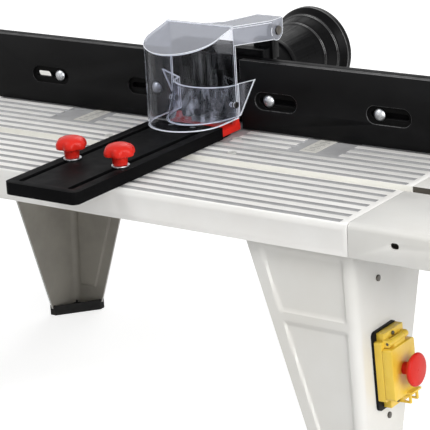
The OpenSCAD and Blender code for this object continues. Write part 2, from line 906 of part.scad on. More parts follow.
// Half of the port's outside, from its axis out
module port_outline() {
    step = 1.4;
    mid = cone_end + flare_len / 2;
    polygon([
        [0, 0],
        [pipe_r, 0],
        [pipe_r, pipe_len - 7],
        [pipe_r + collar_out, pipe_len - 7],
        [pipe_r + collar_out, pipe_len],
        [pipe_r + 1, pipe_len],
        [cone_r, cone_end],
        [cone_r + step, cone_end],
        [flare_r - step, mid],
        [flare_r, mid],
        [flare_r, mid + 3],
        [rim_r, port_len - 7],
        [rim_r, port_len],
        [0, port_len]
    ]);
}

// Half of the port's bore, which ends in the socket for the hose
module port_bore() {
    mid = cone_end + flare_len / 2;
    polygon([
        [0, -1],
        [pipe_r - box_wall, -1],
        [pipe_r - box_wall, pipe_len],
        [cone_r - box_wall, cone_end],
        [flare_r - box_wall - 1.5, mid],
        [flare_r - box_wall, mid],
        [flare_r - box_wall, port_len + 1],
        [0, port_len + 1]
    ]);
}

// A pipe that widens in steps to the hose, turned about its own axis
module dust_port() {
    place() color(black) translate([0, box_back, port_z]) rotate([-90, 0, 0]) difference() {
        rotate_extrude() port_outline();
        rotate_extrude() port_bore();
    }
}

module hood_pin() {
    place() color(zinc) translate([0, hinge_y, hinge_z]) {
        rod_x(hinge_r, lug_out - 6, ear_out + 0.5);
        rod_x(2 * hinge_r, ear_out + 0.4, ear_out + 2.6);
    }
}

// The guard's outline seen from above: a round front and straight sides
module hood_plan(r, rear) {
    intersection() {
        translate([0, hood_y]) circle(r, $fn = 96);
        translate([-r, hood_y - r]) square([2 * r, r]);
    }
    translate([-r, hood_y]) square([2 * r, rear - hood_y]);
}

// The guard's outline raised to a sloping roof that lies below the real one by drop
module hood_solid(r, rear, low, drop) {
    intersection() {
        translate([0, 0, low]) linear_extrude(160) hood_plan(r, rear);
        translate([0, hood_y - hood_r, hood_front_z]) rotate([hood_slope, 0, 0])
            translate([-100, -60, -240 - drop]) cube([200, 260, 240]);
    }
}

module hood() {
    place() color(clear) difference() {
        union() {
            difference() {
                hood_solid(hood_r, hood_rear, hood_low, 0);
                hood_solid(hood_r - hood_t, hood_rear + 10, hood_low - 1, hood_t);
                both_sides() translate([0, rivet_y, rivet_z])
                    rod_x(rivet_r + hole_gap, hood_r - hood_t - 3, hood_r + 1);
            }
            // Level roof that runs back to the ear on one side
            translate([0, 0, hood_top - hood_t]) linear_extrude(hood_t) polygon([
                [-hood_r, hood_rear - 4], [hood_r, hood_rear - 4], [ear_out, ear_front],
                [ear_out, ear_back], [ear_out - arm_w, ear_back], [ear_out - 1.15 * arm_w, ear_front + 4],
                [hood_r / 2, hood_rear + 14], [hood_r / 4, hood_rear + 4],
                [0, hood_rear], [-hood_r, hood_rear]
            ]);
            // Side of the arm and the ear that the hinge pin goes through
            translate([0, 0, arm_low]) linear_extrude(hood_top - arm_low) polygon([
                [hood_r - hood_t, hood_rear - 3], [hood_r, hood_rear - 3], [ear_out, ear_front],
                [ear_out, ear_front + 2], [ear_in, ear_front + 2], [ear_in, ear_front + 1],
                [hood_r - hood_t, hood_rear - 1]
            ]);
            along_x(ear_in, ear_out) {
                translate([hinge_y, hinge_z]) circle(ear_r);
                translate([ear_front, arm_low]) square([hinge_y - ear_front, hood_top - arm_low]);
                translate([hinge_y - 1, hinge_z]) square([ear_back - hinge_y + 1, hood_top - hinge_z]);
            }
        }
        translate([0, hinge_y, hinge_z]) rod_x(hinge_r + turn_gap, ear_in - 1, ear_out + 1);
    }
}

// A leaning half-round shield inside the guard, with two flanges along the fence
module shield_form(r, reach, low, high) {
    translate([0, shield_back, low]) linear_extrude(high - low, scale = [1, shield_lean])
        scale([r, reach]) circle(1, $fn = 64);
}
module inner_shield() {
    wing_tip = 60.5;
    place() color(clear) difference() {
        union() {
            difference() {
                shield_form(shield_r, shield_reach, shield_low, shield_top);
                shield_form(shield_r - 2, shield_reach - 2.4, shield_low - 0.01, shield_top + 0.01);
                translate([-100, shield_back, 0]) cube([200, 200, 200]);
            }
            both_sides() along_y(shield_back - 2, shield_back) polygon([
                [shield_r - 2, shield_low], [shield_r, shield_low],
                [wing_tip, shield_top + 7], [shield_r - 2, shield_top]
            ]);
        }
        both_sides() translate([0, rivet_y, rivet_z]) {
            rod_x(rivet_r + hole_gap, shield_r - 12, shield_r + 1);
            rod_x(rivet_head_r + 0.3, hood_r - hood_t - rivet_head_t - 0.2, shield_r + 1);
        }
    }
}

module shield_rivets() {
    place() color(zinc) both_sides() translate([0, rivet_y, rivet_z]) {
        rod_x(rivet_r, shield_r - 6, hood_r + 0.1);
        for (x = [hood_r, hood_r - hood_t - rivet_head_t, shield_r - 6])
            rod_x(rivet_head_r, x, x + rivet_head_t);
    }
}

module slide_bar() {
    len = bar_front + bar_back;
    slot_front = bar_slot_front - bar_front;
    slot_back = bar_back - bar_slot_back - tail_len;
    place() color(black) difference() {
        union() {
            translate([0, bar_back - len / 2, bar_z]) linear_extrude(bar_t) rounded_plate(bar_w, len, bar_r);
            // Its rear end is square against the shoe
            translate([-bar_w / 2, bar_back - len / 2, bar_z]) cube([bar_w, len / 2, bar_t]);
        }
        both_sides() translate([stud_x, (slot_front + slot_back) / 2, 0]) rotate([0, 0, 90])
            linear_extrude(bar_top + 1) oblong(slot_back - slot_front, 2 * stud_r + 2 * slide_gap);
        translate([-tail_w / 2 - 0.1, bar_back - tail_len - 0.1, -1])
            cube([tail_w + 0.2, tail_len + 1, bar_z + tail_t + 1.1]);
        both_sides() translate([shoe_screw_x, bar_back - tail_len / 2, 0]) {
            rod_z(small_r + hole_gap, 0, bar_top + 1);
            rod_z(2 * small_r + hole_gap, bar_top - 2.2, bar_top + 1);
        }
    }
}

// The red shoe that presses the work to the fence, with a tail let into the bar
module red_shoe() {
    back = bar_back + shoe_len;
    ear = 5;
    place() color(red) difference() {
        union() {
            translate([0, 0, bar_z]) linear_extrude(shoe_h - bar_z) polygon([
                [-shoe_w / 2, bar_back], [shoe_w / 2, bar_back], [shoe_w / 2, back],
                [shoe_w / 2 - 16, back], [shoe_w / 2 - 26, back - 14], [26 - shoe_w / 2, back - 14],
                [16 - shoe_w / 2, back], [-shoe_w / 2, back]
            ]);
            translate([-tail_w / 2, bar_back - tail_len, bar_z]) cube([tail_w, tail_len + 1, tail_t]);
            both_sides() along_x(shoe_w / 2 - ear, shoe_w / 2) polygon([
                [back - 12, bar_z], [back, bar_z], [back - 2, bar_top], [back - 5, bar_top]
            ]);
        }
        both_sides() translate([shoe_screw_x, bar_back - tail_len / 2, 0])
            rod_z(small_r + hole_gap, -1, bar_z + tail_t + 1);
    }
}

module shoe_screws() {
    place() color(zinc) both_sides() translate([shoe_screw_x, bar_back - tail_len / 2, 0]) {
        rod_z(small_r, bar_z + 0.3, bar_top - 2);
        rod_z(2 * small_r, bar_top - 2.2, bar_top - 0.2);
    }
}

module bar_studs() {
    place() color(zinc) both_sides() translate([stud_x, stud_y, 0]) {
        rod_z(stud_r, -plate_t - 1, knob_z + 15);
        translate([0, 0, -plate_t - hex_t]) cylinder(r = hex_r, h = hex_t, $fn = 6);
    }
}

module stud_washers() {
    place() color(zinc) both_sides() translate([stud_x, stud_y, bar_top + slide_gap]) difference() {
        cylinder(r = 3.1 * stud_r, h = washer_t);
        translate([0, 0, -1]) cylinder(r = stud_r + hole_gap, h = washer_t + 2);
    }
}

module bar_knob(side) {
    place() color(red) translate([side * stud_x, stud_y, knob_z])
        lobed_knob(knob_d, knob_h, stud_r + turn_gap, 15.6);
}
module bar_knob_left() {
    bar_knob(-1);
}
module bar_knob_right() {
    bar_knob(1);
}

// A block on the switch face: u from u0 to u1, v by v wide and w from w0 to w1
module face_block(u0, u1, v, w0, w1) {
    translate([u0, -v / 2, w0]) cube([u1 - u0, v, w1 - w0]);
}

// A rounded plate standing on the switch face
module face_plate(u0, u1, v, w, r) {
    along_x(u0, u1) rounded_plate(v, w, r);
}

module switch_plate() {
    place() color(black) on_switch_face() difference() {
        face_plate(seat_gap, plate_thick, plate_w, plate_h, 5);
        face_block(-1, plate_thick + 1, block_w + 1, -block_h / 2 - 0.5, block_h / 2 + 0.5);
        for (w = case_screw_ws) translate([0, 0, w]) rod_x(small_r + hole_gap, -1, plate_thick + 1);
    }
}

module switch_case() {
    wall = 2.5;
    ear_mid = knuckle_half + ear_gap + ear_len / 2;
    place() color(yellow) on_switch_face() difference() {
        union() {
            // The middle is as wide as the plate, and the ends leave its corners bare
            translate([0, 0, (case_top + case_low) / 2])
                face_plate(plate_thick, case_front, plate_w, case_top - case_low, 1.5);
            translate([plate_thick, -case_w / 2 + 4, case_top - 1])
                cube([case_d, case_w - 4, case_h / 2 - case_top + 1]);
            translate([plate_thick, -case_w / 2 + 8, -case_h / 2])
                cube([case_d, case_w - 8, case_h / 2 + case_low + 1]);
            for (s = [-1, 1]) translate([0, s * ear_mid, lid_pin_w]) {
                translate([case_front - 1, -ear_len / 2, -knuckle_r])
                    cube([lid_pin_u - case_front + 1, ear_len, 2 * knuckle_r]);
                translate([lid_pin_u, 0, 0]) rod_y(knuckle_r, -ear_len / 2, ear_len / 2);
            }
        }
        face_block(plate_thick - 1, case_front - wall, block_w + 1, -block_h / 2 - 0.5, block_h / 2 + 0.5);
        for (w = [stop_w, start_w])
            face_block(plate_thick, case_front + 1, button + 2 * slide_gap,
                w - button / 2 - slide_gap, w + button / 2 + slide_gap);
        for (w = case_screw_ws) translate([0, 0, w]) rod_x(small_r + hole_gap, 0, case_front + 1);
        translate([lid_pin_u, 0, lid_pin_w]) rod_y(lid_pin_r + turn_gap, -case_w, case_w);
    }
}

// The contact block behind the buttons, with wells for them to press into
module contact_block() {
    place() color("dimgray") on_switch_face() difference() {
        face_block(-block_back, case_front - 2.8, block_w, -block_h / 2, block_h / 2);
        for (w = [stop_w, start_w])
            face_block(case_front - 12, case_front, button + 2 * slide_gap,
                w - button / 2 - slide_gap, w + button / 2 + slide_gap);
    }
}

// The sheet cover behind the switch, open towards the leg
module switch_box() {
    low = box_screw_ws[1] - 8;
    high = box_screw_ws[0] + 8;
    back = -leg_t - cover_deep;
    place() color(zinc) on_switch_face() difference() {
        face_block(back, -leg_t, 2 * cover_half, low, high);
        face_block(back + cover_t, -leg_t - cover_t, 2 * cover_half - 2 * cover_t,
            low + cover_t, high - cover_t);
        face_block(-leg_t - cover_t - 1, 1, block_w + 1, -block_h / 2 - 0.5, block_h / 2 + 0.5);
        for (w = concat(box_screw_ws, case_screw_ws)) translate([0, 0, w])
            rod_x(small_r + hole_gap, -leg_t - cover_t - 1, 1);
    }
}

module switch_screws() {
    place() color(zinc) on_switch_face() {
        for (w = box_screw_ws) translate([0, 0, w]) {
            rod_x(small_r, -leg_t - cover_t - 5, 0.1);
            rod_x(2 * small_r, 0, 1.5);
        }
        for (w = case_screw_ws) translate([0, 0, w]) {
            rod_x(small_r, -leg_t - cover_t - 3, case_front + 0.1);
            rod_x(1.3 * small_r, case_front, case_front + 1.4);
        }
    }
}

module lid_pin() {
    half = knuckle_half + ear_gap + ear_len;
    place() color(zinc) on_switch_face() translate([lid_pin_u, 0, lid_pin_w]) rod_y(lid_pin_r, -half, half);
}

// The padlock hasp below the flap
module lock_hasp() {
    reach = 13;
    w0 = lid_low - 10.5;
    w1 = lid_low - 1;
    place() color(yellow) on_switch_face() difference() {
        translate([case_front, hasp_v, w0]) cube([reach, 15, w1 - w0]);
        translate([case_front + 4, hasp_v - 1, w0 + 2]) cube([reach - 6.5, 20, w1 - w0 - 4]);
        translate([case_front + 3, hasp_v + 2.5, w0 - 1]) cube([reach, 10, w1 - w0 + 2]);
    }
}

module flap_lid() {
    lip = 7;
    place() color(yellow) on_switch_face() difference() {
        union() {
            difference() {
                translate([0, 0, (lid_top + lid_low) / 2])
                    face_plate(lid_back, lid_front, plate_w, lid_top - lid_low, 3);
                face_block(lid_back - 1, lid_front - lid_wall, plate_w - 2 * lid_wall,
                    lid_low + lid_wall, lid_top - lid_wall);
            }
            translate([lid_front - 1, 0, lid_low]) cube([lip, plate_w / 2 - 3, lid_wall]);
            translate([lid_pin_u, 0, lid_pin_w]) rod_y(knuckle_r, -knuckle_half, knuckle_half);
            face_block(lid_back, lid_pin_u + knuckle_r, 2 * knuckle_half, lid_top - 1, lid_pin_w - 1.5);
        }
        translate([lid_pin_u, 0, lid_pin_w]) rod_y(lid_pin_r + turn_gap, -plate_w, plate_w);
        translate([0, 0, stop_w]) rod_x(stem_r + turn_gap, lid_front - lid_wall - 1, lid_front + 1);
    }
}

// The mushroom head on its stem, with a collar inside the lid
module stop_mushroom() {
    cap_t = 8;
    r = mush_d / 2;
    collar_front = lid_front - lid_wall - 0.4;
    place() color(red) on_switch_face() translate([0, 0, stop_w]) {
        rod_x(stem_r, collar_front - 0.1, mush_front - cap_t + 1);
        rod_x(collar_r, collar_front - collar_t, collar_front);
        // A flat crown with a rounded rim that draws in towards the stem
        translate([mush_front - cap_t, 0, 0]) rotate([0, 90, 0]) rotate_extrude($fn = 96) {
            polygon([
                [0, 0], [0.6 * r, 0], [0.9 * r, 0.35 * cap_t], [r, 0.6 * cap_t],
                [r, 0.8 * cap_t], [0.94 * r, 0.93 * cap_t], [0.84 * r, cap_t], [0, cap_t]
            ]);
        }
    }
}

// A square push button in the case; w is its height on the face
module push_button(w, c) {
    place() color(c) on_switch_face() difference() {
        face_block(case_front - 8, button_top, button, w - button / 2, w + button / 2);
        translate([button_top + 13, 0, w]) sphere(r = 13.4);
    }
}
module start_button() {
    push_button(start_w, "green");
}
module stop_button() {
    push_button(stop_w, red);
}

deck_front();
deck_rear();
slot_floor();
apron();
leg_bosses();
insert_ring();
router_screws();
scale_left();
scale_right();
wing_left();
wing_right();
wing_bolts();
leg_front_left();
leg_front_right();
leg_rear_left();
leg_rear_right();
leg_bolts();
foot_front_left();
foot_front_right();
foot_rear_left();
foot_rear_right();
fence_body();
facing_left();
facing_right();
facing_bolts();
facing_nut_1();
facing_nut_2();
facing_nut_3();
facing_nut_4();
clamp_bolts();
clamp_knob_left();
clamp_knob_right();
dust_box();
dust_port();
box_screws();
hood_pin();
hood();
inner_shield();
shield_rivets();
slide_bar();
red_shoe();
shoe_screws();
bar_studs();
stud_washers();
bar_knob_left();
bar_knob_right();
switch_plate();
switch_case();
contact_block();
switch_box();
switch_screws();
lid_pin();
lock_hasp();
flap_lid();
stop_mushroom();
start_button();
stop_button();
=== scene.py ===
"""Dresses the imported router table: finishes, rounded edges, fasteners, studio and camera.

Lengths are millimetres unless a name ends in _m. Places count x from the middle plane, y back from the
table's front edge and z up from the table top, as the part's source does.
"""

import json
import logging
import math
from dataclasses import dataclass
from enum import Enum
from typing import Any, Callable, ClassVar, Optional, Sequence

import bmesh
import bpy
from mathutils import Matrix, Vector


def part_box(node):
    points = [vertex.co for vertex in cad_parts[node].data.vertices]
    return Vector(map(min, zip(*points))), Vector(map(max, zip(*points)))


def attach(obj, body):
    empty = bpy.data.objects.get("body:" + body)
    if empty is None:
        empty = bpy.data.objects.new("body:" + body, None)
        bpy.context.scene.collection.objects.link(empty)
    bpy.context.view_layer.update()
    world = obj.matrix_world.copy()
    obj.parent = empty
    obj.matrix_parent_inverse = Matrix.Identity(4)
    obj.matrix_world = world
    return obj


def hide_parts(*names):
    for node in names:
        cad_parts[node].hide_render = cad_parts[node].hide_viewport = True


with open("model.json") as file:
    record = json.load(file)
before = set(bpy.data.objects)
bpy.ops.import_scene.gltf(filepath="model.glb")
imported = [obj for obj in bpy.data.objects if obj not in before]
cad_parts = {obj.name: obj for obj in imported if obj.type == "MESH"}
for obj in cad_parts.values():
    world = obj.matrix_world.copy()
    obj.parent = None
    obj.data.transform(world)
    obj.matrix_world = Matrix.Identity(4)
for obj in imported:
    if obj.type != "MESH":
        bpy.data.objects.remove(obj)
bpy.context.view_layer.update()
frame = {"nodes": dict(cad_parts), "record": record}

LOG = logging.getLogger("router_table")
MM = 0.001
# Edges sharper than this many degrees are broken and stay sharp in shading
SHARP = 32.0
# The same limit for turned and folded work
SHARP_ROUND = 40.0
# Points nearer than this many metres are one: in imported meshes, and in meshes made here
PACKED_MERGE_M = 2e-6
OWN_MERGE_M = 1e-7
# Faces within this many degrees of each other are level
LEVEL = 0.4
Profile = Sequence[tuple[float, float]]


def to_linear(code: str) -> tuple[float, float, float, float]:
    """Turns an sRGB hex colour into linear red, green, blue and alpha.

    Args:
        code: The colour as "#rrggbb".

    Returns:
        The linear colour with an alpha of 1.
    """
    parts = [int(code[i : i + 2], 16) / 255 for i in (1, 3, 5)]
    linear = [p / 12.92 if p <= 0.04045 else ((p + 0.055) / 1.055) ** 2.4 for p in parts]
    return (*linear, 1.0)


def add_node(
    tree: bpy.types.NodeTree, kind: str, inputs: Optional[dict[Any, Any]] = None, **settings: Any
) -> bpy.types.Node:
    """Adds one node, sets its properties and fills its inputs.

    Args:
        tree: The node tree to add to.
        kind: Blender's name for the node type.
        inputs: Input name or number to a value, or to the socket that feeds it.
        settings: Properties of the node itself.

    Returns:
        The new node.
    """
    node = tree.nodes.new(kind)
    for name, value in settings.items():
        setattr(node, name, value)
    for key, value in (inputs or {}).items():
        if isinstance(value, bpy.types.NodeSocket):
            tree.links.new(value, node.inputs[key])
        else:
            node.inputs[key].default_value = value
    return node


def per_metre(size: float) -> float:
    """Gives the texture scale for features about size millimetres wide, as Object coordinates are metres."""
    return 1.0 / (size * MM)


@dataclass(frozen=True)
class Finish:
    """A surface as the maker would order it: colour, drift of that colour, grain and gloss."""

    name: str
    colour: str
    shade: str
    roughness: float
    patch: float = 60.0
    grain: float = 1.5
    depth: float = 0.04
    spread: float = 0.08
    specular: float = 0.5
    index: ClassVar[float] = 1.5
    patch_limits: ClassVar[tuple[float, float]] = (0.38, 0.68)
    gloss_limits: ClassVar[tuple[float, float]] = (0.3, 0.7)
    made: ClassVar[dict[str, bpy.types.Material]] = {}

    def material(self) -> bpy.types.Material:
        """Builds the material once.

        Returns:
            The material, shared by every piece with this finish.
        """
        if self.name not in self.made:
            material = bpy.data.materials.new(self.name)
            material.use_nodes = True
            tree = material.node_tree
            shader = tree.nodes["Principled BSDF"]
            place = add_node(tree, "ShaderNodeTexCoord").outputs["Object"]
            tree.links.new(self.tint(tree, place), shader.inputs["Base Color"])
            tree.links.new(self.gloss(tree, place), shader.inputs["Roughness"])
            tree.links.new(self.relief(tree, place), shader.inputs["Normal"])
            self.settle(shader)
            material.diffuse_color = to_linear(self.colour)
            self.made[self.name] = material
        return self.made[self.name]

    def tint(self, tree: bpy.types.NodeTree, place: bpy.types.NodeSocket) -> bpy.types.NodeSocket:
        """Drifts the colour towards its shade in soft patches.

        Args:
            tree: The material's tree.
            place: Object coordinates.

        Returns:
            The colour's socket.
        """
        drift = add_node(
            tree,
            "ShaderNodeTexNoise",
            {"Vector": place, "Scale": per_metre(self.patch), "Detail": 4.0, "Roughness": 0.6},
        )
        low, high = self.patch_limits
        share = add_node(
            tree, "ShaderNodeMapRange", {"Value": drift.outputs["Fac"], "From Min": low, "From Max": high}
        )
        mix = add_node(
            tree,
            "ShaderNodeMix",
            {"Factor": share.outputs["Result"], 6: to_linear(self.colour), 7: to_linear(self.shade)},
            data_type="RGBA",
        )
        return mix.outputs[2]

    def gloss(self, tree: bpy.types.NodeTree, place: bpy.types.NodeSocket) -> bpy.types.NodeSocket:
        """Varies the roughness a little, as handling does.

        Args:
            tree: The material's tree.
            place: Object coordinates.

        Returns:
            The roughness socket.
        """
        smear = add_node(
            tree, "ShaderNodeTexNoise", {"Vector": place, "Scale": per_metre(self.patch / 4), "Detail": 3.0}
        )
        low, high = self.gloss_limits
        spread = add_node(
            tree,
            "ShaderNodeMapRange",
            {
                "Value": smear.outputs["Fac"],
                "From Min": low,
                "From Max": high,
                "To Min": max(self.roughness - self.spread, 0.02),
                "To Max": min(self.roughness + self.spread, 1.0),
            },
        )
        return spread.outputs["Result"]

    def relief(self, tree: bpy.types.NodeTree, place: bpy.types.NodeSocket) -> bpy.types.NodeSocket:
        """Raises the grain of the surface.

        Args:
            tree: The material's tree.
            place: Object coordinates.

        Returns:
            The normal's socket.
        """
        grain = add_node(
            tree, "ShaderNodeTexNoise", {"Vector": place, "Scale": per_metre(self.grain), "Detail": 2.0}
        )
        bump = add_node(
            tree,
            "ShaderNodeBump",
            {"Height": grain.outputs["Fac"], "Distance": self.depth * MM, "Strength": 1.0},
        )
        return bump.outputs["Normal"]

    def settle(self, shader: bpy.types.Node) -> None:
        """Sets what is the same all over on the shader's own sockets."""
        shader.inputs["IOR"].default_value = self.index
        shader.inputs["Specular IOR Level"].default_value = self.specular


@dataclass(frozen=True)
class GlossPlastic(Finish):
    """Moulded ABS with a polished skin: a clear, slightly soft highlight."""

    index: ClassVar[float] = 1.53
    coat: ClassVar[float] = 0.06
    coat_roughness: ClassVar[float] = 0.12

    def settle(self, shader: bpy.types.Node) -> None:
        """Adds the polished skin.

        Args:
            shader: The material's shader.
        """
        super().settle(shader)
        shader.inputs["Coat Weight"].default_value = self.coat
        shader.inputs["Coat Roughness"].default_value = self.coat_roughness


@dataclass(frozen=True)
class PlatedSteel(Finish):
    """Steel under zinc plate or black oxide: a metal with faint crystals in its gloss."""

    def settle(self, shader: bpy.types.Node) -> None:
        """Makes the surface a metal."""
        shader.inputs["Metallic"].default_value = 1.0


@dataclass(frozen=True)
class ClearSheet(Finish):
    """Formed polycarbonate sheet: clear, faintly cool, with a slight ripple from forming."""

    clear: float = 1.0
    skin: float = 0.09
    glow: float = 0.0
    # How far upright smears cut the clearness; their pale streaks are painted reflection
    smear: float = 0.0
    smear_width: float = 7.0
    index: ClassVar[float] = 1.02
    skin_index: ClassVar[float] = 1.58
    rim_blend: ClassVar[float] = 0.2
    upright: ClassVar[float] = 0.12
    smear_limits: ClassVar[tuple[float, float]] = (0.48, 0.72)

    def material(self) -> bpy.types.Material:
        """Builds the clear material, whose colour is the same all over and whose clearness varies in smears.

        Returns:
            The material.
        """
        if self.name not in self.made:
            material = bpy.data.materials.new(self.name)
            material.use_nodes = True
            tree = material.node_tree
            shader = tree.nodes["Principled BSDF"]
            place = add_node(tree, "ShaderNodeTexCoord").outputs["Object"]
            tree.links.new(self.relief(tree, place), shader.inputs["Normal"])
            shader.inputs["Base Color"].default_value = to_linear(self.colour)
            shader.inputs["Roughness"].default_value = self.roughness
            # A thin sheet hardly shifts what is behind it, so only its skin has the real index
            shader.inputs["IOR"].default_value = self.index
            rim = add_node(tree, "ShaderNodeLayerWeight", {"Blend": self.rim_blend}).outputs["Fresnel"]
            skin = add_node(tree, "ShaderNodeMapRange", {"Value": rim, "To Min": self.skin, "To Max": 1.0})
            tree.links.new(skin.outputs["Result"], shader.inputs["Coat Weight"])
            shader.inputs["Coat IOR"].default_value = self.skin_index
            shader.inputs["Coat Roughness"].default_value = self.roughness
            tree.links.new(self.clearness(tree, place), shader.inputs["Transmission Weight"])
            # Painted glow: the edge finish gives off a little light of its own
            shader.inputs["Emission Color"].default_value = to_linear(self.shade)
            shader.inputs["Emission Strength"].default_value = self.glow
            material.diffuse_color = to_linear(self.shade)
            self.made[self.name] = material
        return self.made[self.name]

    def clearness(self, tree: bpy.types.NodeTree, place: bpy.types.NodeSocket) -> bpy.types.NodeSocket:
        """Dulls the sheet in upright smears, as wiping does; their pale streaks are painted reflection.

        Args:
            tree: The material's tree.
            place: Object coordinates.

        Returns:
            The socket of the share of light that goes through.
        """
        upright = add_node(tree, "ShaderNodeMapping", {"Vector": place, "Scale": (1.0, 1.0, self.upright)})
        smears = add_node(
            tree,
            "ShaderNodeTexNoise",
            {"Vector": upright.outputs["Vector"], "Scale": per_metre(self.smear_width), "Detail": 3.0},
        )
        low, high = self.smear_limits
        share = add_node(
            tree,
            "ShaderNodeMapRange",
            {
                "Value": smears.outputs["Fac"],
                "From Min": low,
                "From Max": high,
                "To Min": self.clear,
                "To Max": self.clear - self.smear,
            },
        )
        return share.outputs["Result"]


# Powder paint on a casting: a soft sheen over a fine orange peel
CAST_WHITE = Finish("white_powder_paint", "#f1f0ed", "#eceae6", 0.42, patch=90, grain=1.6, depth=0.05)
# The same paint on folded sheet, a little warmer and smoother
SHEET_WHITE = Finish("white_sheet_paint", "#dfdeda", "#d9d7d1", 0.40, patch=140, grain=2.2, depth=0.03)
# Grey primer on the hidden side of the folded sheet, darkened as painted shade of the space under the table:
# dull and warm grey
SHEET_PRIMER_SHADE = Finish(
    "grey_sheet_primer", "#a9a59c", "#9c9890", 0.62, patch=60, grain=1.4, depth=0.05, specular=0.3
)
# Painted shade on the inside of the wings and along their joint with the casting: dark warm grey
WING_SHADE = Finish(
    "bare_wing_inside", "#5a564f", "#4d4943", 0.7, patch=50, grain=1.4, depth=0.05, specular=0.2
)
# Grey in the grooves between the ribs: darker and duller than the lands
GROOVE_GREY = Finish(
    "grey_groove_paint", "#b0b0b1", "#a6a6a7", 0.60, patch=25, grain=0.9, depth=0.06, specular=0.3
)
# Machined flanks of the mitre slot under a thin coat
SLOT_CREAM = Finish("cream_slot_paint", "#efeee8", "#e8e6df", 0.45, patch=40, grain=1.2, depth=0.05)
# Satin black stove enamel on the metal fence and bar: deep, with a soft broad highlight
SATIN_BLACK = Finish(
    "satin_black_enamel", "#0b0b0c", "#111112", 0.46, patch=70, grain=0.9, depth=0.05, specular=0.02
)
# Spark-eroded mould texture on black nylon and ABS
GRAINED_BLACK = Finish(
    "grained_black_abs", "#0b0b0c", "#111112", 0.48, patch=50, grain=1.1, depth=0.08, specular=0.12
)
# The same plastic, lighter on the facings' front edges: a painted highlight
EDGE_HIGHLIGHT_BLACK = Finish(
    "worn_black_abs", "#2c2c2d", "#343435", 0.30, patch=20, grain=1.1, depth=0.03, specular=0.6
)
# The same plastic, darker in the facings' recesses: painted shade
RECESS_SHADE_BLACK = Finish(
    "dull_black_abs", "#070707", "#0b0b0b", 0.60, patch=30, grain=1.1, depth=0.06, specular=0.08
)
# Plain moulded polypropylene of the dust box and its port: smoother than the grained plastic
SMOOTH_BLACK = Finish(
    "smooth_black_pp", "#09090a", "#0e0e0f", 0.30, patch=50, grain=1.4, depth=0.02, specular=0.05
)
# The same plastic, lighter and glossier on the port's steps: a painted highlight
STEP_HIGHLIGHT_BLACK = Finish(
    "polished_black_pp", "#1c1c1d", "#242425", 0.14, patch=20, grain=1.4, depth=0.01, specular=0.9
)
# Moulded rubber, dull, with dust in its grain
RUBBER = Finish("black_rubber", "#131313", "#1f1e1d", 0.78, patch=18, grain=1.0, depth=0.12, specular=0.3)
# Polished red ABS of the knobs, the shoe, the mushroom head and the stop button
RED_ABS = GlossPlastic("red_abs", "#d62a20", "#cb241b", 0.34, patch=30, grain=2.4, depth=0.02, specular=0.12)
# Polished yellow ABS of the switch
YELLOW_ABS = GlossPlastic("yellow_abs", "#ebc847", "#e3bd3c", 0.36, patch=35, grain=2.0, depth=0.03)
# Polished green ABS of the start button
GREEN_ABS = GlossPlastic("green_abs", "#2c8a45", "#257a3c", 0.32, patch=30, grain=2.0, depth=0.02)
# Moulded nylon of the contact block
GREY_NYLON = Finish("grey_nylon", "#5b5c5e", "#525355", 0.5, patch=30, grain=1.0, depth=0.05)
# Bright zinc on bolts, studs, washers and the switch's rear cover
ZINC = PlatedSteel(
    "zinc_plated_steel", "#c6c8ca", "#abaeb2", 0.36, patch=6, grain=0.6, depth=0.01, spread=0.1
)
# Black oxide on the small screws, pins and rivets of the guard and the switch
BLACKED_STEEL = PlatedSteel("black_oxide_steel", "#63605b", "#524f4b", 0.40, patch=6, grain=0.6, depth=0.01)
# Dull chromate over the zinc of the flush screws
DULL_ZINC = Finish(
    "dull_chromated_zinc", "#c9c9c5", "#bdbdb9", 0.55, patch=6, grain=0.6, depth=0.01, specular=0.4
)
# Vinyl strip with a matt laminate
STRIP_VINYL = Finish("strip_vinyl", "#dcdad3", "#d2d0c9", 0.5, patch=30, grain=0.8, depth=0.01)
# Screen-printed ink on the strip
STRIP_INK = Finish("strip_ink", "#54555a", "#4b4c50", 0.5, patch=12, grain=0.8, depth=0.01)
# Clear sheet, seen by its reflections, with faint pale upright streaks of painted reflection
CLEAR = ClearSheet("clear_polycarbonate", "#dfe1e8", "#d5d8e4", 0.03, grain=30.0, depth=0.02, smear=0.05)
# The inner shield, dulled more by chips and wiping, with paler upright streaks of painted reflection
WIPED_AND_STREAKED = ClearSheet(
    "wiped_polycarbonate", "#dfe1e8", "#d5d8e4", 0.05, grain=30.0, depth=0.02, clear=0.98, smear=0.27
)
# The roof and the arm of the guard, dulled by wiping and greyed as a painted sheen
SCUFFED_SHEEN = ClearSheet(
    "scuffed_polycarbonate", "#a6a9b2", "#d5d8e4", 0.12, grain=30.0, depth=0.02, clear=0.5, skin=0.5
)
# Pale lines along the sheet's edges and bends: a painted highlight with a faint painted glow
CLEAR_EDGE_HIGHLIGHT = ClearSheet(
    "clear_polycarbonate_edge",
    "#f2f4f8",
    "#e9ecf2",
    0.3,
    grain=1.5,
    depth=0.03,
    clear=0.35,
    skin=0.5,
    glow=0.14,
)


class Side(Enum):
    """A side of the table, as the sign of x there."""

    LEFT = -1
    RIGHT = 1

    def node(self, name: str) -> str:
        """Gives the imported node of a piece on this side."""
        return f"{name}_{self.name.lower()}"


class Corner(Enum):
    """A corner of the table, as the signs of x and y there, counted from its middle."""

    FRONT_LEFT = (-1, -1)
    FRONT_RIGHT = (1, -1)
    REAR_LEFT = (-1, 1)
    REAR_RIGHT = (1, 1)

    def node(self, name: str) -> str:
        """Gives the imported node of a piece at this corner."""
        return f"{name}_{self.name.lower()}"

    def at(self, x: float, y: float, z: float) -> Vector:
        """Moves a place from the front right corner to this one, in metres."""
        across, back = self.value
        return SPACE.at(across * x, SPACE.depth - y if back > 0 else y, z)


class Edge(Enum):
    """How far an edge is broken, in millimetres."""

    CRISP = 0.25
    BROKEN = 0.5
    SOFT = 0.9
    MOULDED = 1.4


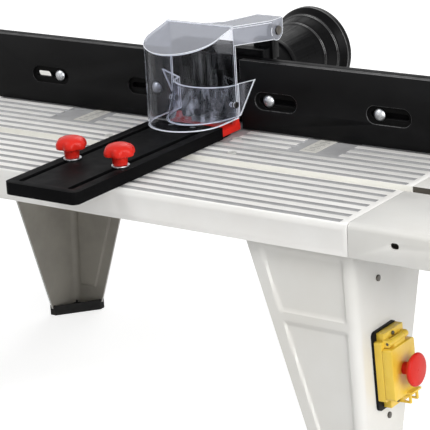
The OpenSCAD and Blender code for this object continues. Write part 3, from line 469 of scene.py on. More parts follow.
@dataclass(frozen=True)
class TableSpace:
    """The working coordinates and the casting's size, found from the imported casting."""

    front_m: float
    top_m: float
    length: float
    depth: float
    height: float

    @classmethod
    def of_casting(cls) -> "TableSpace":
        """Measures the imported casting.

        Returns:
            The space, with its sizes to a thousandth of a millimetre.
        """
        low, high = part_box("apron")
        top_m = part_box("deck_rear")[1][2]
        length, depth, height = (round(v / MM, 3) for v in (high.x - low.x, high.y - low.y, top_m))
        return cls(low.y, top_m, length, depth, height)

    def at(self, x: float, y: float, z: float) -> Vector:
        """Turns a working place in millimetres into the frame's metres."""
        return Vector((x * MM, self.front_m + y * MM, self.top_m + z * MM))


SPACE = TableSpace.of_casting()
# The imported nodes' bodies
BODY_OF = {node: body for body, nodes in frame["record"]["behaviour"]["bodies"].items() for node in nodes}


def merged_mesh(node: str) -> bpy.types.Mesh:
    """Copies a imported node's mesh with its loose triangles joined into faces.

    Args:
        node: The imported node.

    Returns:
        A new mesh.
    """
    mesh = frame["nodes"][node].data.copy()
    mesh.materials.clear()
    tidy_faces(mesh)
    return mesh


def tidy_faces(mesh: bpy.types.Mesh) -> None:
    """Merges a mesh's doubled points and joins its level faces.

    Args:
        mesh: The mesh to tidy.
    """
    work = bmesh.new()
    work.from_mesh(mesh)
    bmesh.ops.remove_doubles(work, verts=work.verts, dist=PACKED_MERGE_M)
    bmesh.ops.dissolve_limit(
        work, angle_limit=math.radians(LEVEL), verts=work.verts, edges=work.edges, delimit={"NORMAL"}
    )
    work.to_mesh(mesh)
    work.free()


def rounded_mesh(mesh: bpy.types.Mesh, edge: Edge, segments: int = 2, angle: float = SHARP) -> bpy.types.Mesh:
    """Breaks the sharp edges of a mesh.

    Args:
        mesh: The mesh to start from.
        edge: How far the edges are broken.
        segments: Steps across each broken edge.
        angle: Edges sharper than this, in degrees, are broken.

    Returns:
        A new mesh with smooth faces.
    """
    holder = bpy.data.objects.new("edge_holder", mesh)
    bpy.context.scene.collection.objects.link(holder)
    bevel = holder.modifiers.new("broken_edges", "BEVEL")
    bevel.width = edge.value * MM
    bevel.segments = segments
    bevel.limit_method = "ANGLE"
    bevel.angle_limit = math.radians(angle)
    result = baked(holder)
    smooth(result, angle)
    return result


def baked(holder: bpy.types.Object) -> bpy.types.Mesh:
    """Turns an object and its modifiers into a plain mesh and removes the object.

    Args:
        holder: The object with live modifiers.

    Returns:
        The evaluated mesh.
    """
    evaluated = holder.evaluated_get(bpy.context.evaluated_depsgraph_get())
    result = bpy.data.meshes.new_from_object(evaluated)
    bpy.data.objects.remove(holder)
    return result


def smooth(mesh: bpy.types.Mesh, angle: float = SHARP) -> None:
    """Shades a mesh smooth, but not its many-sided level faces or edges sharper than angle degrees."""
    mesh.polygons.foreach_set("use_smooth", [len(face.vertices) < 5 for face in mesh.polygons])
    mesh.set_sharp_from_angle(angle=math.radians(angle))


def closed_mesh(name: str, verts: Sequence[Vector], faces: Sequence[Sequence[int]]) -> bpy.types.Mesh:
    """Makes a mesh from points and faces, merged and facing outwards.

    Args:
        name: Name of the mesh.
        verts: The points, in metres.
        faces: The faces as point numbers.

    Returns:
        The mesh.
    """
    mesh = bpy.data.meshes.new(name)
    mesh.from_pydata([tuple(v) for v in verts], [], [tuple(f) for f in faces])
    work = bmesh.new()
    work.from_mesh(mesh)
    bmesh.ops.remove_doubles(work, verts=work.verts, dist=OWN_MERGE_M)
    bmesh.ops.recalc_face_normals(work, faces=work.faces)
    work.to_mesh(mesh)
    work.free()
    return mesh


def slab_mesh(low: Vector, high: Vector) -> bpy.types.Mesh:
    """Makes a plain block between two corners.

    Args:
        low: Its first corner, in metres.
        high: Its last corner, in metres.

    Returns:
        The mesh.
    """
    work = bmesh.new()
    turn = Matrix.Translation((low + high) / 2) @ Matrix.Diagonal((*(high - low), 1.0))
    bmesh.ops.create_cube(work, size=1.0, matrix=turn)
    mesh = bpy.data.meshes.new("slab")
    work.to_mesh(mesh)
    work.free()
    return mesh


def turned_mesh(
    name: str,
    profile: Profile,
    frame_of: Matrix,
    steps: int = 64,
    lobe: Optional[Callable[[float, float], float]] = None,
) -> bpy.types.Mesh:
    """Turns a profile about an axis, like work on a lathe.

    Args:
        name: Name of the mesh.
        profile: Pairs of height and radius from the bottom to the top, in millimetres.
        frame_of: The place of the axis: its z is the axis.
        steps: Faces around the axis.
        lobe: Scales the radius by angle and height, for lobed knobs.

    Returns:
        A closed mesh, smooth all over.
    """
    verts: list[Vector] = []
    for height, radius in profile:
        for i in range(steps):
            angle = 2 * math.pi * i / steps
            reach = radius * (lobe(angle, height) if lobe else 1.0)
            place = Vector((reach * math.cos(angle) * MM, reach * math.sin(angle) * MM, height * MM))
            verts.append(frame_of @ place)
    faces: list[Sequence[int]] = []
    for row in range(len(profile) - 1):
        for i in range(steps):
            j = (i + 1) % steps
            faces.append((row * steps + i, row * steps + j, (row + 1) * steps + j, (row + 1) * steps + i))
    last = (len(profile) - 1) * steps
    faces.append(tuple(reversed(range(steps))))
    faces.append(tuple(range(last, last + steps)))
    mesh = closed_mesh(name, verts, faces)
    smooth(mesh, SHARP_ROUND)
    return mesh


def arc(
    centre: tuple[float, float], radius: float, start: float, end: float, steps: int = 6
) -> list[tuple[float, float]]:
    """Gives profile points along an arc.

    Args:
        centre: Height and radius of the arc's middle.
        radius: Radius of the arc.
        start: First angle in degrees; 0 points up the axis, 90 away from it.
        end: Last angle in degrees.
        steps: Number of stretches.

    Returns:
        Pairs of height and radius.
    """
    angles = [math.radians(start + (end - start) * i / steps) for i in range(steps + 1)]
    return [(centre[0] + radius * math.cos(a), centre[1] + radius * math.sin(a)) for a in angles]


def joined_mesh(name: str, meshes: Sequence[bpy.types.Mesh]) -> bpy.types.Mesh:
    """Joins meshes into one and removes the parts.

    Args:
        name: Name of the new mesh.
        meshes: The meshes to join.

    Returns:
        The joined mesh.
    """
    work = bmesh.new()
    for mesh in meshes:
        work.from_mesh(mesh)
        bpy.data.meshes.remove(mesh)
    result = bpy.data.meshes.new(name)
    work.to_mesh(result)
    work.free()
    return result


def put(
    name: str, mesh: bpy.types.Mesh, finishes: Sequence[Finish], nodes: Sequence[str]
) -> bpy.types.Object:
    """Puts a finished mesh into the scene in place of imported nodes.

    Args:
        name: Name of the piece.
        mesh: Its mesh, already in place.
        finishes: Its finishes, one for each material number.
        nodes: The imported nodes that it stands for, all on one body.

    Returns:
        The new object.
    """
    piece = bpy.data.objects.new(name, mesh)
    mesh.name = name
    mesh.materials.clear()
    for finish in finishes:
        mesh.materials.append(finish.material())
    bpy.context.scene.collection.objects.link(piece)
    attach(piece, BODY_OF[nodes[0]])
    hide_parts(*nodes)
    LOG.info("%s: %d faces for %s", name, len(mesh.polygons), ", ".join(nodes))
    return piece


def put_rounded(node: str, finish: Finish, edge: Edge, segments: int = 2) -> bpy.types.Object:
    """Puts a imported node's own shape into the scene with its edges broken.

    Args:
        node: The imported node.
        finish: Its finish.
        edge: How far its edges are broken.
        segments: Steps across each edge.

    Returns:
        The new object.
    """
    return put(f"{node}_piece", rounded_mesh(merged_mesh(node), edge, segments), [finish], [node])


class Tree:
    """A Geometry Nodes tree with named inputs that bakes to a plain mesh."""

    def __init__(self, name: str, inputs: dict[str, str]) -> None:
        """Starts the tree.

        Args:
            name: Name of the tree.
            inputs: Input name to Blender's socket type.
        """
        self.group = bpy.data.node_groups.new(name, "GeometryNodeTree")
        face = self.group.interface
        face.new_socket("Geometry", in_out="INPUT", socket_type="NodeSocketGeometry")
        self.keys = {
            label: face.new_socket(label, in_out="INPUT", socket_type=kind).identifier
            for label, kind in inputs.items()
        }
        face.new_socket("Geometry", in_out="OUTPUT", socket_type="NodeSocketGeometry")
        self.source = self.group.nodes.new("NodeGroupInput").outputs

    def add(self, kind: str, inputs: Optional[dict[Any, Any]] = None, **settings: Any) -> bpy.types.Node:
        """Adds a node to this tree."""
        return add_node(self.group, kind, inputs, **settings)

    def end(self, geometry: bpy.types.NodeSocket) -> None:
        """Realizes the instances, sets their material and closes the tree.

        Args:
            geometry: The socket with the instances.
        """
        real = self.add("GeometryNodeRealizeInstances", {"Geometry": geometry})
        dressed = self.add(
            "GeometryNodeSetMaterial",
            {"Geometry": real.outputs["Geometry"], "Material": self.source["Material"]},
        )
        self.add("NodeGroupOutput", {"Geometry": dressed.outputs["Geometry"]})

    def bake(self, points: Sequence[Vector], values: dict[str, Any]) -> bpy.types.Mesh:
        """Runs the tree on a set of points.

        Args:
            points: Where the instances go, in metres.
            values: Input name to value.

        Returns:
            The plain mesh.
        """
        mesh = bpy.data.meshes.new("points")
        mesh.from_pydata([tuple(p) for p in points], [], [])
        holder = bpy.data.objects.new("tree_holder", mesh)
        bpy.context.scene.collection.objects.link(holder)
        modifier = holder.modifiers.new(self.group.name, "NODES")
        modifier.node_group = self.group
        for label, value in values.items():
            modifier[self.keys[label]] = value
        return baked(holder)


def fastener_tree() -> Tree:
    """Builds the tree for screws and bolts: a head with an optional cross recess, on a shaft below it.

    Returns:
        The tree; its instances point their heads along Axis.
    """
    tree = Tree(
        "fasteners",
        {
            "Head radius": "NodeSocketFloat",
            "Head height": "NodeSocketFloat",
            "Head sides": "NodeSocketInt",
            "Shaft radius": "NodeSocketFloat",
            "Shaft length": "NodeSocketFloat",
            "Recess": "NodeSocketFloat",
            "Axis": "NodeSocketVector",
            "Material": "NodeSocketMaterial",
        },
    )
    values = tree.source
    # The cross's length and width are shares of the head's radius
    cross_length, cross_width, shaft_sides = 1.15, 0.26, 20

    def raised(
        geometry: bpy.types.NodeSocket, height: bpy.types.NodeSocket, share: float
    ) -> bpy.types.NodeSocket:
        """Lifts a shape along z by a share of a height.

        Args:
            geometry: The shape.
            height: The height's socket.
            share: The share of it.

        Returns:
            The lifted shape's socket.
        """
        lift = tree.add("ShaderNodeMath", {0: height, 1: share}, operation="MULTIPLY").outputs[0]
        offset = tree.add("ShaderNodeCombineXYZ", {"Z": lift}).outputs[0]
        return tree.add("GeometryNodeTransform", {"Geometry": geometry, "Translation": offset}).outputs[0]

    head = tree.add(
        "GeometryNodeMeshCylinder",
        {"Vertices": values["Head sides"], "Radius": values["Head radius"], "Depth": values["Head height"]},
    )
    shaft = tree.add(
        "GeometryNodeMeshCylinder",
        {"Vertices": shaft_sides, "Radius": values["Shaft radius"], "Depth": values["Shaft length"]},
    )
    long_side, narrow = (
        tree.add("ShaderNodeMath", {0: values["Head radius"], 1: share}, operation="MULTIPLY").outputs[0]
        for share in (cross_length, cross_width)
    )
    bars = []
    for long_axis in ("X", "Y"):
        sides = {"X": narrow, "Y": narrow, "Z": values["Recess"]}
        sides[long_axis] = long_side
        size = tree.add("ShaderNodeCombineXYZ", sides).outputs[0]
        bar = tree.add("GeometryNodeMeshCube", {"Size": size}).outputs["Mesh"]
        bars.append(raised(bar, values["Head height"], 1.0))
    cross = tree.add("GeometryNodeMeshBoolean", {"Mesh 2": bars[0]}, operation="UNION")
    tree.group.links.new(bars[1], cross.inputs["Mesh 2"])
    cut = tree.add(
        "GeometryNodeMeshBoolean",
        {"Mesh 1": raised(head.outputs["Mesh"], values["Head height"], 0.5), "Mesh 2": cross.outputs["Mesh"]},
        operation="DIFFERENCE",
    )
    both = tree.add("GeometryNodeJoinGeometry", {"Geometry": cut.outputs["Mesh"]})
    tree.group.links.new(raised(shaft.outputs["Mesh"], values["Shaft length"], -0.5), both.inputs["Geometry"])
    turn = tree.add("FunctionNodeAlignRotationToVector", {"Vector": values["Axis"]}, axis="Z")
    spread = tree.add(
        "GeometryNodeInstanceOnPoints",
        {
            "Points": values["Geometry"],
            "Instance": both.outputs["Geometry"],
            "Rotation": turn.outputs["Rotation"],
        },
    )
    tree.end(spread.outputs["Instances"])
    return tree


def tick_tree() -> Tree:
    """Builds the tree for printed scale marks: thin bars at every point.

    Returns:
        The tree.
    """
    tree = Tree(
        "scale_ticks",
        {
            "Length": "NodeSocketFloat",
            "Width": "NodeSocketFloat",
            "Ink": "NodeSocketFloat",
            "Material": "NodeSocketMaterial",
        },
    )
    size = tree.add(
        "ShaderNodeCombineXYZ",
        {"X": tree.source["Length"], "Y": tree.source["Width"], "Z": tree.source["Ink"]},
    )
    bar = tree.add("GeometryNodeMeshCube", {"Size": size.outputs[0]})
    spread = tree.add(
        "GeometryNodeInstanceOnPoints", {"Points": tree.source["Geometry"], "Instance": bar.outputs["Mesh"]}
    )
    tree.end(spread.outputs["Instances"])
    return tree


@dataclass
class Screws:
    """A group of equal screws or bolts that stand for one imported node."""

    node: str
    head_radius: float
    head_height: float
    shaft_radius: float
    shaft_length: float
    axis: Vector
    seats: Sequence[Vector]
    sides: int = 32
    recess: float = 0.0
    finish: Finish = ZINC

    def bake(self, tree: Tree) -> bpy.types.Mesh:
        """Bakes the screws to a mesh.

        Args:
            tree: The fastener tree.

        Returns:
            The mesh, already in place.
        """
        return tree.bake(
            self.seats,
            {
                "Head radius": self.head_radius * MM,
                "Head height": self.head_height * MM,
                "Head sides": self.sides,
                "Shaft radius": self.shaft_radius * MM,
                "Shaft length": self.shaft_length * MM,
                "Recess": 2 * self.recess * MM,
                "Axis": self.axis,
                "Material": self.finish.material(),
            },
        )

    def build(self, tree: Tree) -> bpy.types.Object:
        """Bakes the screws and puts them in place.

        Args:
            tree: The fastener tree.

        Returns:
            The new object.
        """
        mesh = self.bake(tree)
        smooth(mesh)
        return put(f"{self.node}_piece", mesh, [self.finish], [self.node])


class Paint(Enum):
    """The casting's paints, in the order of its finishes."""

    WHITE = 0
    GROOVE = 1
    SLOT = 2


@dataclass
class Casting:
    """The ribbed top with its insert ring, flush screws and scale strips."""

    nodes: Sequence[str] = ("deck_front", "deck_rear", "slot_floor", "apron", "leg_bosses")
    seam_lap: float = 0.5
    rim: float = 3.5
    groove_depth: float = 1.5
    groove_slack: tuple[float, float] = (0.3, 0.2)
    slot_y: float = 115.0
    slot_width: float = 16.0
    slot_depth: float = 12.0
    slot_slack: float = 0.1
    apron_frame: float = 5.0
    apron_slope: float = 1.5
    apron_press: float = 0.35
    cutter_y: float = 193.0
    screw_places: Sequence[tuple[float, float]] = ((80, 46.5), (80, -46.5), (55, 0))
    screw_sink: float = 0.1
    screw_head: float = 2.5
    tick_pitch: float = 5.0
    tick_lengths: tuple[float, float] = (12.0, 7.0)
    tick_width: float = 0.7
    tick_ink: float = 0.1

    def build(self, fasteners: Tree, ticks: Tree) -> None:
        """Builds and dresses the casting's pieces.

        Args:
            fasteners: The fastener tree.
            ticks: The scale tick tree.
        """
        self.build_top()
        put_rounded("insert_ring", GRAINED_BLACK, Edge.BROKEN)
        seat_z = -self.screw_sink - self.screw_head
        seats = [
            SPACE.at(side.value * x, self.cutter_y + y, seat_z) for x, y in self.screw_places for side in Side
        ]
        Screws(
            "router_screws",
            head_radius=4.75,
            head_height=self.screw_head,
            shaft_radius=2.5,
            shaft_length=21.5,
            axis=Vector((0, 0, 1)),
            seats=seats,
            recess=0.8,
            finish=DULL_ZINC,
        ).build(fasteners)
        for side in Side:
            self.build_scale(side.node("scale"), ticks)

    def build_top(self) -> None:
        """Builds the casting with a pressed frame on its apron, and paints its grooves and slot."""
        mesh = self.whole_mesh()
        work = bmesh.new()
        work.from_mesh(mesh)
        for sign in (-1, 1):
            walls = [f for f in work.faces if f.normal.y * sign > 0.99]
            # The outermost of them, and the largest of those
            face = max(walls, key=lambda f: round(sign * f.calc_center_median().y, 4) * 10 + f.calc_area())
            border, slope, press = self.apron_frame * MM, self.apron_slope * MM, self.apron_press * MM
            bmesh.ops.inset_region(work, faces=[face], thickness=border, use_even_offset=True)
            bmesh.ops.inset_region(work, faces=[face], thickness=slope, depth=-press)
        work.to_mesh(mesh)
        work.free()
        parts = [rounded_mesh(mesh, Edge.CRISP)]
        parts += [rounded_mesh(merged_mesh(node), Edge.BROKEN) for node in ("slot_floor", "leg_bosses")]
        paints = [CAST_WHITE, GROOVE_GREY, SLOT_CREAM]
        top = put("casting_piece", joined_mesh("casting", parts), paints, self.nodes)
        smooth(top.data)
        for face in top.data.polygons:
            face.material_index = self.paint_of(face).value

    def whole_mesh(self) -> bpy.types.Mesh:
        """Joins the decks and the apron into one body without seams.

        Returns:
            The mesh.
        """
        mesh = merged_mesh("apron")
        rim = max(v.co.z for v in mesh.vertices)
        for vertex in mesh.vertices:
            if vertex.co.z > rim - 1e-5:
                vertex.co.z += self.seam_lap * MM
        holder = bpy.data.objects.new("casting_holder", mesh)
        bpy.context.scene.collection.objects.link(holder)
        decks = []
        for node in ("deck_front", "deck_rear"):
            deck = bpy.data.objects.new(f"{node}_holder", merged_mesh(node))
            bpy.context.scene.collection.objects.link(deck)
            weld = holder.modifiers.new(f"weld_{node}", "BOOLEAN")
            weld.operation = "UNION"
            weld.solver = "EXACT"
            weld.object = deck
            decks.append(deck)
        result = baked(holder)
        for deck in decks:
            bpy.data.objects.remove(deck)
        tidy_faces(result)
        return result

    def paint_of(self, face: bpy.types.MeshPolygon) -> Paint:
        """Chooses a face's paint by where it lies.

        Args:
            face: A face of the casting.

        Returns:
            Grey for the grooves and pads, cream for the mitre slot and white for the rest.
        """
        y = (face.center.y - SPACE.front_m) / MM
        z = (face.center.z - SPACE.top_m) / MM
        below, above = self.groove_slack
        slot_half = self.slot_width / 2 + self.slot_slack
        if abs(y - self.slot_y) < slot_half and -self.slot_depth < z < -self.slot_slack:
            return Paint.SLOT
        if -self.groove_depth - below < z < -above and self.rim < y < SPACE.depth - self.rim:
            return Paint.GROOVE
        return Paint.WHITE

    def build_scale(self, node: str, ticks: Tree) -> None:
        """Builds a scale strip with plain marks and no figures.

        Args:
            node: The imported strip.
            ticks: The tick tree.
        """
        low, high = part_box(node)
        middle = (low[0] + high[0]) / 2
        count = int((high[1] - low[1]) / MM / self.tick_pitch) - 1
        parts = [rounded_mesh(merged_mesh(node), Edge.CRISP, 1)]
        for rank, length in enumerate(self.tick_lengths):
            marks = [
                Vector((middle, low[1] + (i + 1) * self.tick_pitch * MM, high[2]))
                for i in range(count)
                if (i % 2) == rank
            ]
            sizes = {"Length": length * MM, "Width": self.tick_width * MM, "Ink": self.tick_ink * MM}
            parts.append(ticks.bake(marks, {**sizes, "Material": STRIP_INK.material()}))
        strip_faces = len(parts[0].polygons)
        mesh = joined_mesh(node, parts)
        strip = put(f"{node}_piece", mesh, [STRIP_VINYL, STRIP_INK], [node])
        for face in strip.data.polygons:
            face.material_index = int(face.index >= strip_faces)


@dataclass
class Wings:
    """The two plain wings and the bolts that hold them to the casting."""

    bolt_ys: Sequence[float] = (24, 85, 180, 320)
    bolt_z: float = -21.78
    bolt_seat: float = 307.5
    skin: float = 1.9
    # Width of the painted shade along the joint with the casting
    seam: float = 0.7
    # A dark backing behind the front hole, painted shade: its place across, half length, depth and height
    lip_x: float = 354.5
    lip_half: float = 12.0
    lip_y: tuple[float, float] = (9.0, 10.5)
    lip_z: tuple[float, float] = (-31.0, -2.0)

    def build(self, fasteners: Tree) -> None:
        """Builds and dresses the wings.

        Args:
            fasteners: The fastener tree.
        """
        parts = []
        for side in Side:
            self.build_wing(side)
            bolts = Screws(
                "wing_bolts",
                head_radius=5.5,
                head_height=4.0,
                shaft_radius=3.0,
                shaft_length=7.2,
                axis=Vector((side.value, 0, 0)),
                seats=[SPACE.at(side.value * self.bolt_seat, y, self.bolt_z) for y in self.bolt_ys],
                sides=6,
            )
            parts.append(bolts.bake(fasteners))
        mesh = joined_mesh("wing_bolts", parts)
        smooth(mesh)
        put("wing_bolts_piece", mesh, [ZINC], ["wing_bolts"])

    def build_wing(self, side: Side) -> None:
        """Builds a wing with painted shade inside it and along its joint with the casting, and a dark backing
        behind its front hole that is painted shade.

        Args:
            side: The wing's side.
        """
        node = side.node("wing")
        shade_backing = [
            SPACE.at(side.value * self.lip_x + end * self.lip_half, y, z)
            for end, y, z in zip((-1, 1), self.lip_y, self.lip_z)
        ]
        mesh = joined_mesh(node, [rounded_mesh(merged_mesh(node), Edge.SOFT, 3), slab_mesh(*shade_backing)])
        smooth(mesh)
        wing = put(f"{node}_piece", mesh, [SHEET_WHITE, WING_SHADE], [node])
        low, high = (Vector(corner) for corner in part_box(node))
        skin = self.skin * MM
        joint = low.x if side is Side.RIGHT else high.x
        # Painted shade: faces inside the wing, on the dark backing and within the seam width of the joint
        # take the dark finish
        for face in wing.data.polygons:
            c = face.center
            inside = min(c.x - low.x, high.x - c.x, c.y - low.y, high.y - c.y, high.z - c.z) > skin
            face.material_index = int(inside or abs(c.x - joint) < self.seam * MM)


def ease(value: float) -> float:
    """Goes smoothly from 0 to 1 as value does."""
    t = min(max(value, 0.0), 1.0)
    return t * t * (3 - 2 * t)


@dataclass
class Legs:
    """Four folded legs with pressed panels, their rubber feet and bolts."""

    apron: float = 33.0
    sheet: float = 2.5
    corner_r: float = 9.0
    in_x: float = 3.0
    in_y: float = 12.4
    spread_x: float = 16.0
    spread_y: float = 7.5
    wide: tuple[float, float] = (119.0, 140.0)
    narrow: tuple[float, float] = (40.5, 46.0)
    foot_floor: float = 3.0
    panel_press: float = 2.2
    panel_ease: float = 2.0
    panel_margins: tuple[float, float] = (2.0, 13.0)
    panel_rows: Sequence[tuple[float, float]] = ((-42.0, -103.0), (-113.0, -276.0))
    bolt_places: Sequence[tuple[float, float]] = ((20, 20), (70, 18), (18, 80))
    flange: float = 2.5
    flange_gap: float = 0.1
    flange_in: float = 6.0
    flange_end: float = 9.0
    rows: int = 110
    columns: int = 46
    corner_steps: int = 10

    def share(self, z: float) -> float:
        """Tells how far down the leg a height is, from 0 at the apron to 1 at the floor."""
        return (-self.apron - z) / (SPACE.height - self.apron)

    def corner(self, z: float) -> tuple[float, float]:
        """Gives the leg's outer corner at a height, at the front right."""
        s = self.share(z)
        return SPACE.length / 2 - self.in_x + self.spread_x * s, self.in_y - self.spread_y * s

    def reach(self, z: float) -> tuple[float, float]:
        """Gives the widths of the front and side faces at a height."""
        s = self.share(z)
        return tuple(w + (n - w) * s for w, n in zip(self.wide, self.narrow))

    def press(self, along: float, width: float, z: float) -> float:
        """Tells how deep the front face is pressed in.

        Args:
            along: Distance from the corner along the front face.
            width: Width of the front face at this height.
            z: The height.

        Returns:
            The depth in millimetres.
        """
        depth = 0.0
        near, far = self.panel_margins
        for high, low in self.panel_rows:
            inside = min(along - self.corner_r - near, width - far - along, high - z, z - low)
            depth = max(depth, ease(inside / self.panel_ease))
        return depth * self.panel_press

    def outline(self, z: float, sunk: float) -> list[tuple[float, float]]:
        """Gives the folded sheet's outline at a height, from one free edge round the corner to the other.

        Args:
            z: The height.
            sunk: 0 for the outer face, the sheet's thickness for the inner one.

        Returns:
            Pairs of x and y at the front right corner.
        """
        (x, y), (w, s), r = self.corner(z), self.reach(z), self.corner_r
        points = []
        for i in range(self.columns + 1):
            along = w + (r - w) * i / self.columns
            points.append((x - along, y + sunk + self.press(along, w, z)))
        for i in range(1, self.corner_steps):
            angle = math.pi / 2 * i / self.corner_steps
            points.append((x - r + (r - sunk) * math.sin(angle), y + r - (r - sunk) * math.cos(angle)))
        for i in range(self.columns + 1):
            points.append((x - sunk, y + r + (s - r) * i / self.columns))
        return points

    def leg_mesh(self, corner: Corner) -> bpy.types.Mesh:
        """Builds one leg's sheet with its pressed panels and its top flange.

        Args:
            corner: The leg's corner.

        Returns:
            The mesh.
        """
        top, low = -self.apron, -SPACE.height + self.foot_floor
        verts: list[Vector] = []
        for row in range(self.rows + 1):
            z = top + (low - top) * row / self.rows
            loop = self.outline(z, 0) + list(reversed(self.outline(z, self.sheet)))
            verts += [corner.at(x, y, z) for x, y in loop]
        around = len(verts) // (self.rows + 1)
        faces: list[Sequence[int]] = []
        for row in range(self.rows):
            for i in range(around):
                a, b = row * around + i, row * around + (i + 1) % around
                faces.append((a, b, b + around, a + around))
        half = around // 2
        for row in (0, self.rows):
            for i in range(half - 1):
                a, b = row * around + i, row * around + around - 1 - i
                faces.append((a, a + 1, b - 1, b))
        sheet = closed_mesh("leg_sheet", verts, faces)
        smooth(sheet, SHARP_ROUND)
        plate = rounded_mesh(self.flange_mesh(corner), Edge.CRISP, 1)
        return joined_mesh(corner.node("leg"), [sheet, plate])

    def flange_mesh(self, corner: Corner) -> bpy.types.Mesh:
        """Builds the plate in a leg's top that the bolts go through.

        Args:
            corner: The leg's corner.

        Returns:
            The mesh.
        """
        top = -self.apron
        (x, y), (w, s) = self.corner(top), self.reach(top)
        x, y, r = x - self.sheet, y + self.sheet, self.corner_r
        far_x, far_y, end = x - w + self.flange_in, y + s - self.flange_in, self.flange_end
        outline = [(x - r, y), (x, y + r), (x, far_y), (x - end, far_y), (far_x, y + end), (far_x, y)]
        levels = (top - self.flange_gap, top - self.flange)
        verts = [corner.at(px, py, z) for z in levels for px, py in outline]
        n = len(outline)
        faces: list[Sequence[int]] = [tuple(range(n)), tuple(range(n, 2 * n))]
        faces += [(i, (i + 1) % n, n + (i + 1) % n, n + i) for i in range(n)]
        return closed_mesh("flange", verts, faces)

    def build(self, fasteners: Tree) -> None:
        """Builds and dresses the legs.

        Args:
            fasteners: The fastener tree.
        """
        seats = []
        for corner in Corner:
            node = corner.node("leg")
            leg = put(f"{node}_piece", self.leg_mesh(corner), [SHEET_WHITE, SHEET_PRIMER_SHADE], [node])
            # The inner faces of the sheet take the primer finish, whose darkness is painted shade
            across = len(self.outline(-self.apron, 0))
            for face in leg.data.polygons[: self.rows * 2 * across]:
                face.material_index = int(across <= face.index % (2 * across) < 2 * across - 1)
            put_rounded(corner.node("foot"), RUBBER, Edge.SOFT, 3)
            x, y = self.corner(-self.apron)
            seats += [corner.at(x - dx, y + dy, -self.apron - self.flange) for dx, dy in self.bolt_places]
        Screws(
            "leg_bolts",
            head_radius=5.5,
            head_height=4.0,
            shaft_radius=3.0,
            shaft_length=7.5,
            axis=Vector((0, 0, -1)),
            seats=seats,
            sides=6,
        ).build(fasteners)


@dataclass
class Knob:
    """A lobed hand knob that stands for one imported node."""

    node: str
    diameter: float
    height: float
    lobes: int = 6
    lobe_depth: float = 0.15
    lobe_power: float = 1.6
    neck: float = 0.30
    neck_ease: float = 0.14
    crown_ease: float = 0.45
    steps: int = 120
    # Shares of the height and of the radius
    outline: ClassVar[Profile] = (
        *((0, 0.40), (0, 0.44), (0.02, 0.46), (0.28, 0.49), (0.37, 0.56), (0.41, 0.70)),
        *((0.43, 0.88), (0.46, 0.97), (0.51, 1), (0.60, 1), (0.70, 0.97), (0.80, 0.89)),
        *((0.88, 0.76), (0.945, 0.56), (0.985, 0.33), (1, 0.1)),
    )

    def build(self) -> bpy.types.Object:
        """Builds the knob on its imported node's axis.

        Returns:
            The new object.
        """
        low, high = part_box(self.node)
        middle = Matrix.Translation(((low[0] + high[0]) / 2, (low[1] + high[1]) / 2, low[2]))
        r, h = self.diameter / 2, self.height
        profile = [(up * h, out * r) for up, out in self.outline]

        def lobe(angle: float, height: float) -> float:
            """Pulls the head in between its lobes, most at the rim and not at the neck and the crown."""
            rim = ease((height / h - self.neck) / self.neck_ease) * ease((1.0 - height / h) / self.crown_ease)
            return 1.0 - self.lobe_depth * rim * (0.5 - 0.5 * math.cos(self.lobes * angle)) ** self.lobe_power

        mesh = turned_mesh(self.node, profile, middle, self.steps, lobe)
        return put(f"{self.node}_piece", mesh, [RED_ABS], [self.node])


